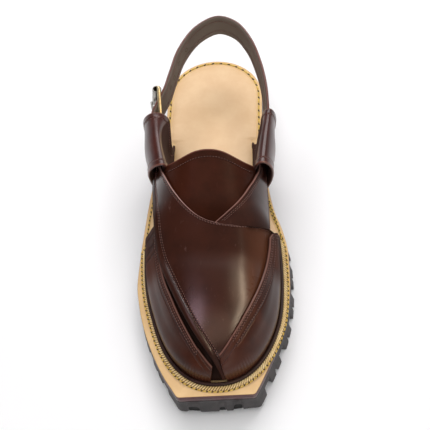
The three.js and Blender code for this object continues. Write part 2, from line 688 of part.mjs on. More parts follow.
// Edges of the insole: inside the bands in front, a border inside the welt behind
function insoleEdges(y) {
  const wallRoom = LEATHER + 4 * SEAM;
  const shankY = 10;
  const past = (y - HEEL_CENTRE.y) / (HEEL_Y - INSOLE_INSET - HEEL_CENTRE.y);
  if (past > 0) {
    const half = (HEEL_CENTRE.width - INSOLE_INSET) * Math.sqrt(Math.max(0, 1 - past * past));
    return { lateral: HEEL_CENTRE.x - half, medial: HEEL_CENTRE.x + half };
  }
  const ahead = Math.max(0, (BALL_Y - y) / (FEATHER.length - wallRoom));
  const round = (1 - Math.min(1, ahead ** FEATHER.power)) ** (1 / FEATHER.power);
  const half = (instepHalf(y) - wallRoom) * round;
  const behind = smoothstep(y, BALL_Y, shankY);
  const sole = soleEdges(y);
  return {
    lateral: lerp(ridgeCentre(y) - half, sole.lateral + INSOLE_INSET, behind),
    medial: lerp(ridgeCentre(y) + half, sole.medial - INSOLE_INSET, behind),
  };
}

// Insole, notched on both sides where the ears go down
function insole() {
  const front = BALL_Y - FEATHER.length + 2 * LEATHER;
  const back = HEEL_Y - INSOLE_INSET - SEAM;
  const rings = Array.from({ length: INSOLE_STEPS + 1 }, (_, i) => {
    const y = lerp(front, back, (1 - Math.cos(Math.PI * (i / INSOLE_STEPS))) / 2);
    const { lateral, medial } = insoleEdges(y);
    const low = weltTop(y) + SEAM;
    const high = low + INSOLE_THICK;
    return [
      new THREE.Vector3(medial, y, high), new THREE.Vector3(medial, y, low),
      new THREE.Vector3(lateral, y, low), new THREE.Vector3(lateral, y, high),
    ];
  });
  const { from, to, outside } = EAR_NOTCH;
  const notch = (left, right) => {
    const corners = [[left, from], [right, from], [right, to], [left, to]];
    return prism(corners, 0, outside);
  };
  return cutFrom(ringSolid(rings), [notch(-outside, EAR_NOTCH.lateral), notch(EAR_NOTCH.medial, outside)]);
}

// Ear: inner leg from the insole notch, over the fold, down the outer leg to the welt
function ear(name) {
  const rows = EARS[name];
  const columns = Object.keys(rows[0]);
  const curves = Object.fromEntries(columns.map((column) => [column, rowsCurve(rows, column)]));
  const surface = (u, v) => {
    const inside = v < 0.5;
    const foot = inside ? curves.innerFoot(u) : curves.outerFoot(u);
    const side = inside ? curves.innerX(u) : curves.outerX(u);
    const hollow = inside ? curves.hollow(u) : 0;
    const up = 1 - Math.abs(2 * v - 1);
    const footY = curves.footY(u);
    const base = weltTop(footY) + SEAM;
    const leg = Math.min(1, up / EAR_LEG);
    const fold = (Math.PI / 2) * Math.max(0, (up - EAR_LEG) / (1 - EAR_LEG));
    const legX = lerp(foot, side, Math.sin((Math.PI / 2) * leg));
    const x = lerp(legX, curves.ridgeX(u), 1 - Math.cos(fold));
    const legZ = lerp(base, curves.shoulderZ(u), leg);
    const z = lerp(legZ, curves.ridgeZ(u), Math.sin(fold));
    const height = clamp((z - base) / (curves.ridgeZ(u) - base), 0, 1);
    const inward = hollow * Math.sin(Math.PI * Math.min(1, height / HOLLOW_TOP));
    const y = lerp(footY, curves.ridgeY(u), Math.sqrt(height)) - inward;
    return new THREE.Vector3(x, y, z);
  };
  return leather(surface, EAR_STEPS, () => 0, EAR_THICK, SIDES[name] * -1);
}

// Heel strap: stands on edge along its path, top edge spread outward, slotted for the prong
function heelStrap() {
  const points = STRAP_PATH.map(({ x, y, top }) => new THREE.Vector3(x, y, top));
  const curve = new THREE.CatmullRomCurve3(points, false, 'centripetal');
  const half = STRAP.thick / 2;
  const rings = Array.from({ length: HEEL_STRAP_STEPS + 1 }, (_, i) => {
    const top = curve.getPoint(i / HEEL_STRAP_STEPS);
    const along = curve.getTangent(i / HEEL_STRAP_STEPS).setZ(0).normalize();
    const out = new THREE.Vector3(-along.y, along.x, 0);
    const corner = (outward, drop) => top.clone()
      .addScaledVector(out, outward - STRAP.spread * drop)
      .setZ(top.z - drop);
    return [corner(-half, 0), corner(-half, STRAP.width), corner(half, STRAP.width), corner(half, 0)];
  });
  const slot = cordSolid([vector(PRONG.from), vector(PRONG.to)], PRONG.radius + 2 * SEAM, CORD_SIDES);
  return cutFrom(ringSolid(rings), [slot]);
}

// Buckle frame: one closed wire with rounded corners
function buckleFrame() {
  const corners = FRAME_CORNERS.map(vector);
  const count = corners.length;
  const path = corners.flatMap((corner, i) => {
    const toward = (other) => other.clone().sub(corner).setLength(FRAME_CORNER_RADIUS).add(corner);
    const before = toward(corners[(i + count - 1) % count]);
    const after = toward(corners[(i + 1) % count]);
    return new THREE.QuadraticBezierCurve3(before, corner, after).getPoints(CORNER_STEPS);
  });
  return cordSolid(path, WIRE, WIRE_SIDES, true);
}

// Roller: a tube that hangs on the far bar, pressed outward by the strap
function buckleRoller() {
  const top = vector(FRAME_CORNERS[1]);
  const low = vector(FRAME_CORNERS[2]);
  const centre = top.clone().lerp(low, 0.5);
  centre.x -= ROLLER.inner - WIRE - SEAM;
  const along = low.sub(top).normalize();
  const bar = (long) => [-long / 2, long / 2].map((t) => centre.clone().addScaledVector(along, t));
  const tube = cordSolid(bar(ROLLER.long), ROLLER.outer, ROLLER_SIDES);
  return cutFrom(tube, [cordSolid(bar(ROLLER.long + CUT_PAST), ROLLER.inner, ROLLER_SIDES)]);
}

const buckleProng = () => cordSolid([vector(PRONG.from), vector(PRONG.to)], PRONG.radius, CORD_SIDES);

// Finishes
const finish = (color, roughness, metalness = 0) => new THREE.MeshStandardMaterial({ color, roughness, metalness });
const brownLeather = finish(0x4a241b, 0.38);
const tanLeather = finish(0xd9b27c, 0.5);
const wineEdge = finish(0x5a2824, 0.5);
const blackRubber = finish(0x383634, 0.8);
const brass = finish(0xd8b560, 0.25, 1);
const steel = finish(0x8c8c8a, 0.3, 1);

const shoe = new THREE.Group();
function add(name, geometry, material) {
  const mesh = new THREE.Mesh(geometry.translate(CENTRE_SHIFT, 0, 0), material);
  mesh.name = name;
  shoe.add(mesh);
}

add('outsole', outsole(), blackRubber);
add('midsole', midsole(), wineEdge);
add('welt', welt(), tanLeather);
add('insole', insole(), tanLeather);
add('rand', rand(), brownLeather);
add('upper', upper(), brownLeather);
add('ear_lateral', ear('lateral'), brownLeather);
add('ear_medial', ear('medial'), brownLeather);
add('heel_strap', heelStrap(), brownLeather);
add('buckle_frame', buckleFrame(), brass);
add('buckle_roller', buckleRoller(), steel);
add('buckle_prong', buckleProng(), brass);

export default shoe;
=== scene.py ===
"""Looks of a right norozi chappal, a leather sandal on a lugged rubber sole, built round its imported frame."""

from __future__ import annotations

import logging
import math
from collections.abc import Callable, Sequence
from dataclasses import dataclass, field
from enum import Enum
from operator import attrgetter

import bmesh
import bpy
import numpy as np
from mathutils import Matrix, Vector

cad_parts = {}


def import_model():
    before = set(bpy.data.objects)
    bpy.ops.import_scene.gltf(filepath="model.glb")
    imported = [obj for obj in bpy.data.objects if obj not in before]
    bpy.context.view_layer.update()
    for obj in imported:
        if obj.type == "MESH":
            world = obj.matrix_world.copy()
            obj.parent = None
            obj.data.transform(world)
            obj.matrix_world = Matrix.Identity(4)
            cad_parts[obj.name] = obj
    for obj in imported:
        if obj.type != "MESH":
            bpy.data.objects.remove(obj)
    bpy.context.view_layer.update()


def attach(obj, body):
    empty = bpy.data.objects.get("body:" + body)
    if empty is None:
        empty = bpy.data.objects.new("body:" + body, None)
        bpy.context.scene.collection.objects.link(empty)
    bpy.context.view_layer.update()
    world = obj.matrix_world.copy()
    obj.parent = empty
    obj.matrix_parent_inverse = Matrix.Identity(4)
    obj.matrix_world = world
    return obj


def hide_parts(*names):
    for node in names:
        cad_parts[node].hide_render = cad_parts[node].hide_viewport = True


Array = np.ndarray
Steps = tuple[int, int]
Span = tuple[float, float]
Place = tuple[float, float, float]
Four = tuple[float, float, float, float]
Colour = Four
Material = bpy.types.Material
Node = bpy.types.Node
NodeTree = bpy.types.NodeTree
Outputs = bpy.types.NodeOutputs
Socket = bpy.types.NodeSocket
Line = tuple[Array, Array]
Surface = Callable[[Array, Array], Array]
Height = Callable[[Array], Array]

LOG = logging.getLogger("chappal")
MM = 0.001
# Moves the drawing sideways onto the frame, in mm.
SHIFT = np.array([-0.98, 0.0, 0.0])
UP = np.array([0.0, 0.0, 1.0])
BODY = "root"
# Gap between layers and thickness of a panel of the upper, in mm.
SEAM = 0.3
LEATHER = 2.0
# Distance in metres within which places are merged, and a length that counts as none.
MERGE = 1e-6
TINY = 1e-6


class Slot(Enum):
    """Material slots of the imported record."""

    UPPER = "upper"
    LOOPS = "loops"
    STRAP = "strap"
    RAND = "rand"
    WELT = "welt"
    INSOLE = "insole"
    MIDSOLE = "midsole"
    RUBBER = "rubber"
    BRASS = "brass"
    STEEL = "steel"


class Side(Enum):
    """Outer and inner side of the foot, with the sign of x."""

    LATERAL = -1
    MEDIAL = 1


class Rim(Enum):
    """The four rims of a sheet."""

    START = "start"
    END = "end"
    LOW = "low"
    HIGH = "high"


class Glow(Enum):
    """What a light shows in: everything, reflections alone, or all but reflections."""

    FULL = "full"
    REFLECTED = "reflected"
    DIFFUSE = "diffuse"


def srgb(red: int, green: int, blue: int) -> Colour:
    """Linear colour of one given in eight bits."""
    share = np.array([red, green, blue]) / 255
    linear = np.where(share <= 0.04045, share / 12.92, ((share + 0.055) / 1.055) ** 2.4)
    return (*linear.tolist(), 1.0)


def lerp(first: Array | float, second: Array | float, share: Array | float) -> Array | float:
    """Straight blend from the first value to the second."""
    return first + (second - first) * share


def smooth(value: Array | float, low: float, high: float) -> Array:
    """Smooth step from 0 at low to 1 at high."""
    share = np.clip((value - low) / (high - low), 0, 1)
    return share * share * (3 - 2 * share)


def hump(value: Array, centre: float, wide: float) -> Array:
    """Bell of height 1 about a centre."""
    return np.exp(-(((value - centre) / wide) ** 2))


def unit(vector: Array) -> Array:
    """Vectors along the last axis at length 1."""
    return vector / np.maximum(np.linalg.norm(vector, axis=-1, keepdims=True), 1e-9)


def circle(count: int) -> Array:
    """Angles at even steps round a full turn."""
    return np.linspace(0, 2 * math.pi, count, endpoint=False)


def running(places: Array) -> Array:
    """Length run along a line of places, from 0 at its start."""
    return np.concatenate([[0], np.cumsum(np.linalg.norm(np.diff(places, axis=0), axis=1))])


def read(rows: Array, run: Array, where: Array) -> Array:
    """Rows that are given along a run, read between them at each place."""
    return np.stack([np.interp(where, run, part) for part in rows.T], axis=-1)


class Curve:
    """Smooth curve through the rows of a short table that never overshoots them."""

    def __init__(self, at: Sequence[float], value: Sequence[float]) -> None:
        """Keeps the rows and gives each the harmonic mean of its two neighbouring slopes.

        Args:
            at: places of the rows, rising.
            value: value at each place.
        """
        self.at = np.asarray(at, float)
        self.value = np.asarray(value, float)
        slope = np.diff(self.value) / np.diff(self.at)
        before, after = slope[:-1], slope[1:]
        turn = before * after <= 0
        mean = 2 * before * after / np.where(turn, 1.0, before + after)
        self.slope = np.concatenate([slope[:1], np.where(turn, 0.0, mean), slope[-1:]])

    def __call__(self, where: Array | float) -> Array:
        """Cubic between the two rows about each place.

        Args:
            where: places to read.

        Returns:
            The value at each place, held flat past both ends.
        """
        place = np.clip(where, self.at[0], self.at[-1])
        row = np.clip(np.searchsorted(self.at, place, side="right") - 1, 0, len(self.at) - 2)
        span = self.at[row + 1] - self.at[row]
        t = (place - self.at[row]) / span
        start = self.value[row] * (2 * t**3 - 3 * t**2 + 1) + self.slope[row] * span * (t**3 - 2 * t**2 + t)
        end = self.value[row + 1] * (3 * t**2 - 2 * t**3) + self.slope[row + 1] * span * (t**3 - t**2)
        return start + end


def columns(rows: Sequence[Sequence[float]]) -> list[Curve]:
    """One curve per column of a table whose rows stand at even steps from 0 to 1."""
    return keyed(np.column_stack([np.linspace(0, 1, len(rows)), rows]))


def keyed(rows: Sequence[Sequence[float]]) -> list[Curve]:
    """One curve per later column of a table, over its first column."""
    table = np.asarray(rows, float)
    return [Curve(table[:, 0], column) for column in table.T[1:]]


@dataclass
class Shell:
    """Mesh under way, in mm of the drawing: places, four-cornered faces and named values per place."""

    points: Array
    quads: Array
    values: dict[str, Array]

    def facing_out(self) -> Array:
        """Faces turned outward: all are turned round if the volume they enclose comes out negative."""
        corner = self.points[self.quads]
        first = np.einsum("ij,ij->i", corner[:, 0], np.cross(corner[:, 1], corner[:, 2]))
        second = np.einsum("ij,ij->i", corner[:, 0], np.cross(corner[:, 2], corner[:, 3]))
        return self.quads if (first + second).sum() > 0 else self.quads[:, ::-1]


def joined(shells: Sequence[Shell]) -> Shell:
    """One shell of several, their faces numbered on from each other, without their values."""
    starts = np.cumsum([0] + [len(shell.points) for shell in shells[:-1]])
    quads = np.concatenate([shell.quads + start for shell, start in zip(shells, starts)])
    return Shell(np.concatenate([shell.points for shell in shells]), quads, {})


def grid_quads(rows: int, wide: int, closed: bool, looped: bool = False) -> Array:
    """Faces of a grid of places, numbered row by row.

    Args:
        rows: rows of the grid.
        wide: places in a row.
        closed: whether each row runs round to its own start.
        looped: whether the last row joins the first.

    Returns:
        Corner numbers, four per face.
    """
    across = np.arange(wide if closed else wide - 1)
    after = (across + 1) % wide
    first = np.arange(rows if looped else rows - 1)[:, None] * wide
    second = (first + wide) % (rows * wide)
    corners = [first + across, second + across, second + after, first + after]
    return np.stack(corners, axis=-1).reshape(-1, 4)


def piece(
    name: str,
    shell: Shell,
    material: Material,
    slot: Slot,
    nodes: Sequence[str] = (),
    sharp: float | None = None,
) -> bpy.types.Object:
    """Makes a shell an object that rides on the shoe.

    Args:
        name: name of the object.
        shell: its places, faces and values.
        material: its finish.
        slot: material slot of the record; not used.
        nodes: solids that it stands for.
        sharp: angle in degrees past which an edge stays sharp, or none.

    Returns:
        The object, at the origin, with doubled places merged.
    """
    mesh = bpy.data.meshes.new(name)
    mesh.vertices.add(len(shell.points))
    mesh.vertices.foreach_set("co", ((shell.points + SHIFT) * MM).astype(np.float32).ravel())
    quads = shell.facing_out().astype(np.int32)
    mesh.loops.add(quads.size)
    mesh.loops.foreach_set("vertex_index", quads.ravel())
    mesh.polygons.add(len(quads))
    mesh.polygons.foreach_set("loop_start", np.arange(0, quads.size, 4, dtype=np.int32))
    mesh.update(calc_edges=True)
    for key, value in shell.values.items():
        mesh.attributes.new(key, "FLOAT", "POINT").data.foreach_set("value", value.astype(np.float32))
    work = bmesh.new()
    work.from_mesh(mesh)
    bmesh.ops.remove_doubles(work, verts=work.verts, dist=MERGE)
    work.to_mesh(mesh)
    work.free()
    mesh.shade_smooth()
    if sharp is not None:
        mesh.set_sharp_from_angle(angle=math.radians(sharp))
    mesh.materials.append(material)
    thing = bpy.data.objects.new(name, mesh)
    bpy.context.scene.collection.objects.link(thing)
    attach(thing, BODY)
    if nodes:
        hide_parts(*nodes)
    LOG.info("%s: %d faces", name, len(mesh.polygons))
    return thing


@dataclass(frozen=True)
class Reach:
    """Distances in mm over a sheet from each of its four rims."""

    start: Array
    end: Array
    low: Array
    high: Array

    def ends(self) -> Array:
        """Distance from the nearer of the first two rims."""
        return np.minimum(self.start, self.end)

    def sides(self) -> Array:
        """Distance from the nearer of the last two rims."""
        return np.minimum(self.low, self.high)


Relief = Callable[[Array, Array, Reach], Array]


class Sheet:
    """Leather wall with rounded rims, laid on a surface.

    A grid of places on the surface is moved along its normals by the relief, which is where the outer
    face lies. The inner face lies a thickness below. At each rim a few more rows turn through a quarter
    circle about the middle of the wall, so that both faces meet in a round edge.
    """

    TURN = 4
    STEP = 1e-3

    def __init__(
        self,
        place: Surface,
        steps: Steps,
        relief: Relief,
        thick: Relief | float,
        inside: Place,
        floor: Height,
    ) -> None:
        """Works out the grid, its normals and its distances.

        Args:
            place: surface as a function of two shares from 0 to 1.
            steps: steps along both shares.
            relief: height of the outer face over the surface, from both shares and the distances.
            thick: thickness, from the same, or one number.
            inside: a place behind the sheet, which its normals point away from.
            floor: lowest height over each y.
        """
        shares = [np.linspace(0, 1, count + 1) for count in steps]
        self.u, self.v = np.meshgrid(*shares, indexing="ij")
        self.base = place(self.u, self.v)
        ahead, behind = np.minimum(self.u + self.STEP, 1), np.maximum(self.u - self.STEP, 0)
        self.along = unit(place(ahead, self.v) - place(behind, self.v))
        ahead, behind = np.minimum(self.v + self.STEP, 1), np.maximum(self.v - self.STEP, 0)
        self.across = unit(place(self.u, ahead) - place(self.u, behind))
        normal = unit(np.cross(self.along, self.across))
        self.normal = normal * np.sign(np.sum(normal * (self.base - np.array(inside))))
        self.reach = self.distances()
        self.over = relief(self.u, self.v, self.reach)
        wall = thick(self.u, self.v, self.reach) if callable(thick) else np.full_like(self.u, thick)
        self.half = wall / 2
        self.floor = floor

    def distances(self) -> Reach:
        """Running lengths over the grid from all four rims."""
        along = np.linalg.norm(np.diff(self.base, axis=0), axis=-1)
        start = np.concatenate([np.zeros((1, along.shape[1])), np.cumsum(along, axis=0)])
        across = np.linalg.norm(np.diff(self.base, axis=1), axis=-1)
        low = np.concatenate([np.zeros((across.shape[0], 1)), np.cumsum(across, axis=1)], axis=1)
        return Reach(start, start[-1:] - start, low, low[:, -1:] - low)

    def shell(self, hem: Callable[[Reach], Array], worn: Callable[[Reach], Array]) -> Shell:
        """Closed wall of the sheet.

        Args:
            hem: distance that its sewn rows are counted from.
            worn: distance from the rims that are rubbed pale and given a painted highlight.

        Returns:
            The shell, with values edge, hem and across (mm) and inner (1 on the inner face).
        """
        turn = np.linspace(math.pi / 2, 0, self.TURN, endpoint=False)
        picks, outs, fulls = [], [], []
        for count in self.u.shape:
            first, last = np.zeros(self.TURN, int), np.full(self.TURN, count - 1)
            picks.append(np.concatenate([first, np.arange(count), last]))
            outs.append(np.concatenate([-np.sin(turn), np.zeros(count), np.sin(turn)[::-1]]))
            fulls.append(np.concatenate([np.cos(turn), np.ones(count), np.cos(turn)[::-1]]))
        pick = np.ix_(*picks)
        half = self.half[pick]
        spread = self.along[pick] * (outs[0][:, None] * half)[..., None]
        spread = spread + self.across[pick] * (outs[1][None, :] * half)[..., None]
        full = fulls[0][:, None] * fulls[1][None, :]
        lift = half * full
        middle = self.base[pick] + spread + self.normal[pick] * (self.over[pick] - half)[..., None]
        outer = middle + self.normal[pick] * lift[..., None]
        inner = middle - self.normal[pick] * lift[..., None]
        points = np.concatenate([outer.reshape(-1, 3), inner.reshape(-1, 3)])
        points[:, 2] = np.maximum(points[:, 2], self.floor(points[:, 1]))
        number = np.arange(lift.size)
        other = np.where((lift < TINY).ravel(), number, number + lift.size)
        quads = grid_quads(*lift.shape, False)
        quads = np.concatenate([quads, other[quads][:, ::-1]])

        def twice(value: Array) -> Array:
            """Value over the grid, carried to both faces."""
            return np.tile(value[pick].ravel(), 2)

        share = 0.5 - 0.5 * full.ravel()
        values = {
            "edge": twice(worn(self.reach)),
            "hem": twice(hem(self.reach)),
            "inner": np.concatenate([share, 1 - share]),
            "across": twice(self.reach.low),
        }
        return Shell(points, quads, values)

    def row(self, distance: float, rim: Rim, keep: Span = (0.0, 1.0)) -> Line:
        """Line over the outer face at an even distance from a rim.

        Args:
            distance: mm from the rim.
            rim: the rim.
            keep: part of the line that is kept, as shares.

        Returns:
            Places and normals along the line.
        """
        far = getattr(self.reach, rim.value)
        outer = self.base + self.normal * self.over[..., None]
        fields = [far, outer, self.normal]
        if rim in (Rim.START, Rim.END):
            fields = [np.swapaxes(part, 0, 1) for part in fields]
        if rim in (Rim.END, Rim.HIGH):
            fields = [part[:, ::-1] for part in fields]
        far, outer, normal = fields
        after = np.clip((far < distance).sum(axis=1), 1, far.shape[1] - 1)
        line = np.arange(len(far))
        before = far[line, after - 1]
        share = np.clip((distance - before) / np.maximum(far[line, after] - before, TINY), 0, 1)[:, None]
        places = lerp(outer[line, after - 1], outer[line, after], share)
        normals = unit(lerp(normal[line, after - 1], normal[line, after], share))
        first, last = (round(share * (len(line) - 1)) for share in keep)
        return places[first : last + 1], normals[first : last + 1]


@dataclass(frozen=True)
class Thread:
    """Row of stitches: beads of thread at an even pitch, each lying along its row and half sunk."""

    pitch: float
    long: float
    wide: float
    proud: float
    start: float = 0.5
    slant: float = 0.0
    AROUND = 6
    STATIONS = 6

    def bead(self) -> Array:
        """Bead of length 2: rings along x whose radius is a rounded half wave."""
        turn = np.linspace(0, math.pi, self.STATIONS + 1)[:, None]
        around = circle(self.AROUND)[None, :]
        radius = np.sin(turn) ** 0.7
        places = [-np.cos(turn) + 0 * around, radius * np.cos(around), radius * np.sin(around)]
        return np.stack(places, axis=-1).reshape(-1, 3)

    def sew(self, lines: Sequence[Line]) -> Shell:
        """One shell of beads along lines, each given by its places and normals."""
        return self.shell(np.concatenate([self.beads(places, normals) for places, normals in lines]))

    def span(self, starts: Array, ends: Array) -> Shell:
        """Level beads that each reach from one place to another.

        Args:
            starts: places they start at.
            ends: places they end at.

        Returns:
            One shell of all beads.
        """
        ahead = (ends - starts) / 2
        side = unit(np.cross(UP, ahead)) * (self.wide / 2)
        bead = self.bead()
        high = bead[None, :, 2:] * (self.wide / 2) + self.proud
        body = ahead[:, None] * bead[None, :, :1] + side[:, None] * bead[None, :, 1:2]
        return self.shell((starts + ends)[:, None] / 2 + body + high * UP)

    def shell(self, points: Array) -> Shell:
        """Shell of beads given bead by bead, with the value along, from -1 to 1 over each bead."""
        quads = grid_quads(self.STATIONS + 1, self.AROUND, True)
        number = np.arange(len(points))[:, None, None] * points.shape[1]
        values = {"along": np.tile(self.bead()[:, 0], len(points))}
        return Shell(points.reshape(-1, 3), (quads[None] + number).reshape(-1, 4), values)

    def beads(self, places: Array, normals: Array) -> Array:
        """Places of the beads of one row, bead by bead.

        Args:
            places: places along the row.
            normals: normals there.

        Returns:
            Array of bead, place in the bead, coordinate.
        """
        run = running(places)
        at = np.arange(self.start * self.pitch, run[-1] - 0.4 * self.pitch, self.pitch)
        centre = read(places, run, at)
        ahead = unit(read(places, run, at + 0.6) - read(places, run, at - 0.6))
        up = unit(read(normals, run, at))
        side = unit(np.cross(up, ahead))
        ahead = np.cross(side, up)
        turned = ahead * math.cos(self.slant) + side * math.sin(self.slant)
        side = side * math.cos(self.slant) - ahead * math.sin(self.slant)
        bead = self.bead()
        body = turned[:, None] * bead[None, :, :1] * (self.long / 2)
        body = body + side[:, None] * bead[None, :, 1:2] * (self.wide / 2)
        body = body + up[:, None] * (bead[None, :, 2:] * (self.wide / 2) + self.proud)
        return centre[:, None] + body


def spline(knots: Array, steps: int) -> Array:
    """Centripetal Catmull-Rom curve through knots.

    Between two knots the curve blends three straight runs over the square roots of the knots' distances.

    Args:
        knots: places to pass.
        steps: places per run.

    Returns:
        Places along the curve.
    """
    ends = [2 * knots[0] - knots[1], *knots, 2 * knots[-1] - knots[-2]]
    wide = np.array(ends)
    gap = np.sqrt(np.linalg.norm(np.diff(wide, axis=0), axis=1))
    knot = np.concatenate([[0], np.cumsum(gap)])
    runs = [np.linspace(a, b, steps, endpoint=False) for a, b in zip(knot[1:-2], knot[2:-1])]
    where = np.append(np.concatenate(runs), knot[-2])
    row = np.clip(np.searchsorted(knot, where, side="right") - 1, 1, len(knot) - 3)
    t = [knot[row + shift][:, None] for shift in (-1, 0, 1, 2)]
    p = [wide[row + shift] for shift in (-1, 0, 1, 2)]
    x = where[:, None]
    first = [((t[i + 1] - x) * p[i] + (x - t[i]) * p[i + 1]) / (t[i + 1] - t[i]) for i in range(3)]
    second = [((t[i + 2] - x) * first[i] + (x - t[i]) * first[i + 1]) / (t[i + 2] - t[i]) for i in range(2)]
    return ((t[2] - x) * second[0] + (x - t[1]) * second[1]) / (t[2] - t[1])


def ring(radius: float, sides: int) -> Array:
    """Circle of places in a plane."""
    turn = circle(sides)
    return radius * np.stack([np.cos(turn), np.sin(turn)], axis=-1)


def carried(path: Array, section: Array, up: Array, closed: bool, cap: float = 0.0) -> Shell:
    """Section carried along a path, its first axis to the side of the path and its second along up.

    Args:
        path: places along the path.
        section: closed outline, two numbers a place.
        up: direction of the section's second axis.
        closed: whether the path closes on itself.
        cap: length of the rounded end on an open path.

    Returns:
        The shell.
    """
    steps = 5
    scale = np.ones(len(path))
    if closed:
        ahead = unit(np.roll(path, -1, 0) - np.roll(path, 1, 0))
    else:
        turn = np.linspace(math.pi / 2, 0, steps, endpoint=False)
        out_start, out_end = unit(path[0] - path[1]), unit(path[-1] - path[-2])
        reach = cap * np.sin(turn)[:, None]
        path = np.concatenate([path[0] + out_start * reach, path, (path[-1] + out_end * reach)[::-1]])
        scale = np.concatenate([np.cos(turn), scale, np.cos(turn)[::-1]])
        scale[[0, -1]] = 0
        ahead = np.gradient(path, axis=0)
        ahead[:steps], ahead[-steps:] = ahead[steps], ahead[-steps - 1]
        ahead = unit(ahead)
    side = unit(np.cross(ahead, up))
    upward = np.cross(side, ahead)
    spread = section[None, :, :1] * side[:, None] + section[None, :, 1:] * upward[:, None]
    points = path[:, None] + spread * scale[:, None, None]
    return Shell(points.reshape(-1, 3), grid_quads(len(path), len(section), True, closed), {})


class Tree:
    """Shader tree under way."""

    def __init__(self, tree: NodeTree) -> None:
        """Keeps the tree."""
        self.tree = tree

    def put(self, socket: Socket, value: object) -> None:
        """Links an input to a socket, or sets its value."""
        if isinstance(value, Socket):
            self.tree.links.new(value, socket)
        else:
            socket.default_value = value

    def feed(self, node: Node, **sockets: object) -> None:
        """Links or sets inputs of a node by name, with _ for a space."""
        for key, value in sockets.items():
            self.put(node.inputs[key.replace("_", " ")], value)

    def add(
        self,
        kind: str,
        inputs: dict[str | int, object] | None = None,
        **settings: object,
    ) -> Node:
        """Adds a node.

        Args:
            kind: type of the node.
            inputs: values or sockets for its inputs.
            settings: properties of the node.

        Returns:
            The node.
        """
        node = self.tree.nodes.new(kind)
        for key, value in settings.items():
            setattr(node, key, value)
        for key, value in (inputs or {}).items():
            self.put(node.inputs[key], value)
        return node

    def group(self, shared: NodeTree, **sockets: object) -> Outputs:
        """Places a shared group, feeds it and gives its outputs."""
        node = self.add("ShaderNodeGroup", node_tree=shared)
        self.feed(node, **sockets)
        return node.outputs

    def value(self, name: str) -> Socket:
        """Named value of the piece."""
        return self.add("ShaderNodeAttribute", attribute_name=name).outputs["Fac"]

    def math(self, kind: str, *terms: object) -> Socket:
        """Sum, product or other operation of numbers."""
        return self.add("ShaderNodeMath", dict(enumerate(terms)), operation=kind).outputs[0]

    def times(self, first: object, second: object) -> Socket:
        """Product of two numbers."""
        return self.math("MULTIPLY", first, second)

    def about(self, value: object, spread: float, middle: float) -> Socket:
        """A value from 0 to 1 made one that ranges over a spread about a middle."""
        return self.math("MULTIPLY_ADD", value, spread, middle - spread / 2)

    def step(self, value: object, low: float, high: float, start: float = 0.0, end: float = 1.0) -> object:
        """Smooth step of a value, from start at low to end at high."""
        inputs = {"Value": value, "From Min": low, "From Max": high, "To Min": start, "To Max": end}
        node = self.add("ShaderNodeMapRange", inputs, interpolation_type="SMOOTHSTEP")
        return node.outputs[0]

    def mix(self, share: object, first: object, second: object) -> Socket:
        """Blend of two colours."""
        inputs = {0: share, 6: first, 7: second}
        return self.add("ShaderNodeMix", inputs, data_type="RGBA").outputs[2]

    def noise(self, scale: object, detail: float = 3.0, at: object = None, rough: float = 0.55) -> object:
        """Noise over the piece's own coordinates."""
        place = at or self.add("ShaderNodeTexCoord").outputs["Object"]
        inputs = {"Vector": place, "Scale": scale, "Detail": detail, "Roughness": rough}
        return self.add("ShaderNodeTexNoise", inputs).outputs["Fac"]

    def bump(self, height: object, strength: float, distance: float) -> Socket:
        """Normal bent by a height, its distance in metres."""
        inputs = {"Height": height, "Strength": strength, "Distance": distance}
        return self.add("ShaderNodeBump", inputs).outputs[0]


def new_group(
    name: str, takes: dict[str, float], gives: Sequence[str]
) -> tuple[Tree, Outputs, Node]:
    """Empty shader group with named numbers in and out.

    Args:
        name: name of the group.
        takes: inputs with their usual values.
        gives: outputs.

    Returns:
        Its tree, the numbers that it takes and its output node.
    """
    group = bpy.data.node_groups.new(name, "ShaderNodeTree")
    for key, usual in takes.items():
        group.interface.new_socket(key, in_out="INPUT", socket_type="NodeSocketFloat").default_value = usual
    for key in gives:
        group.interface.new_socket(key, in_out="OUTPUT", socket_type="NodeSocketFloat")
    tree = Tree(group)
    return tree, tree.add("NodeGroupInput").outputs, tree.add("NodeGroupOutput")


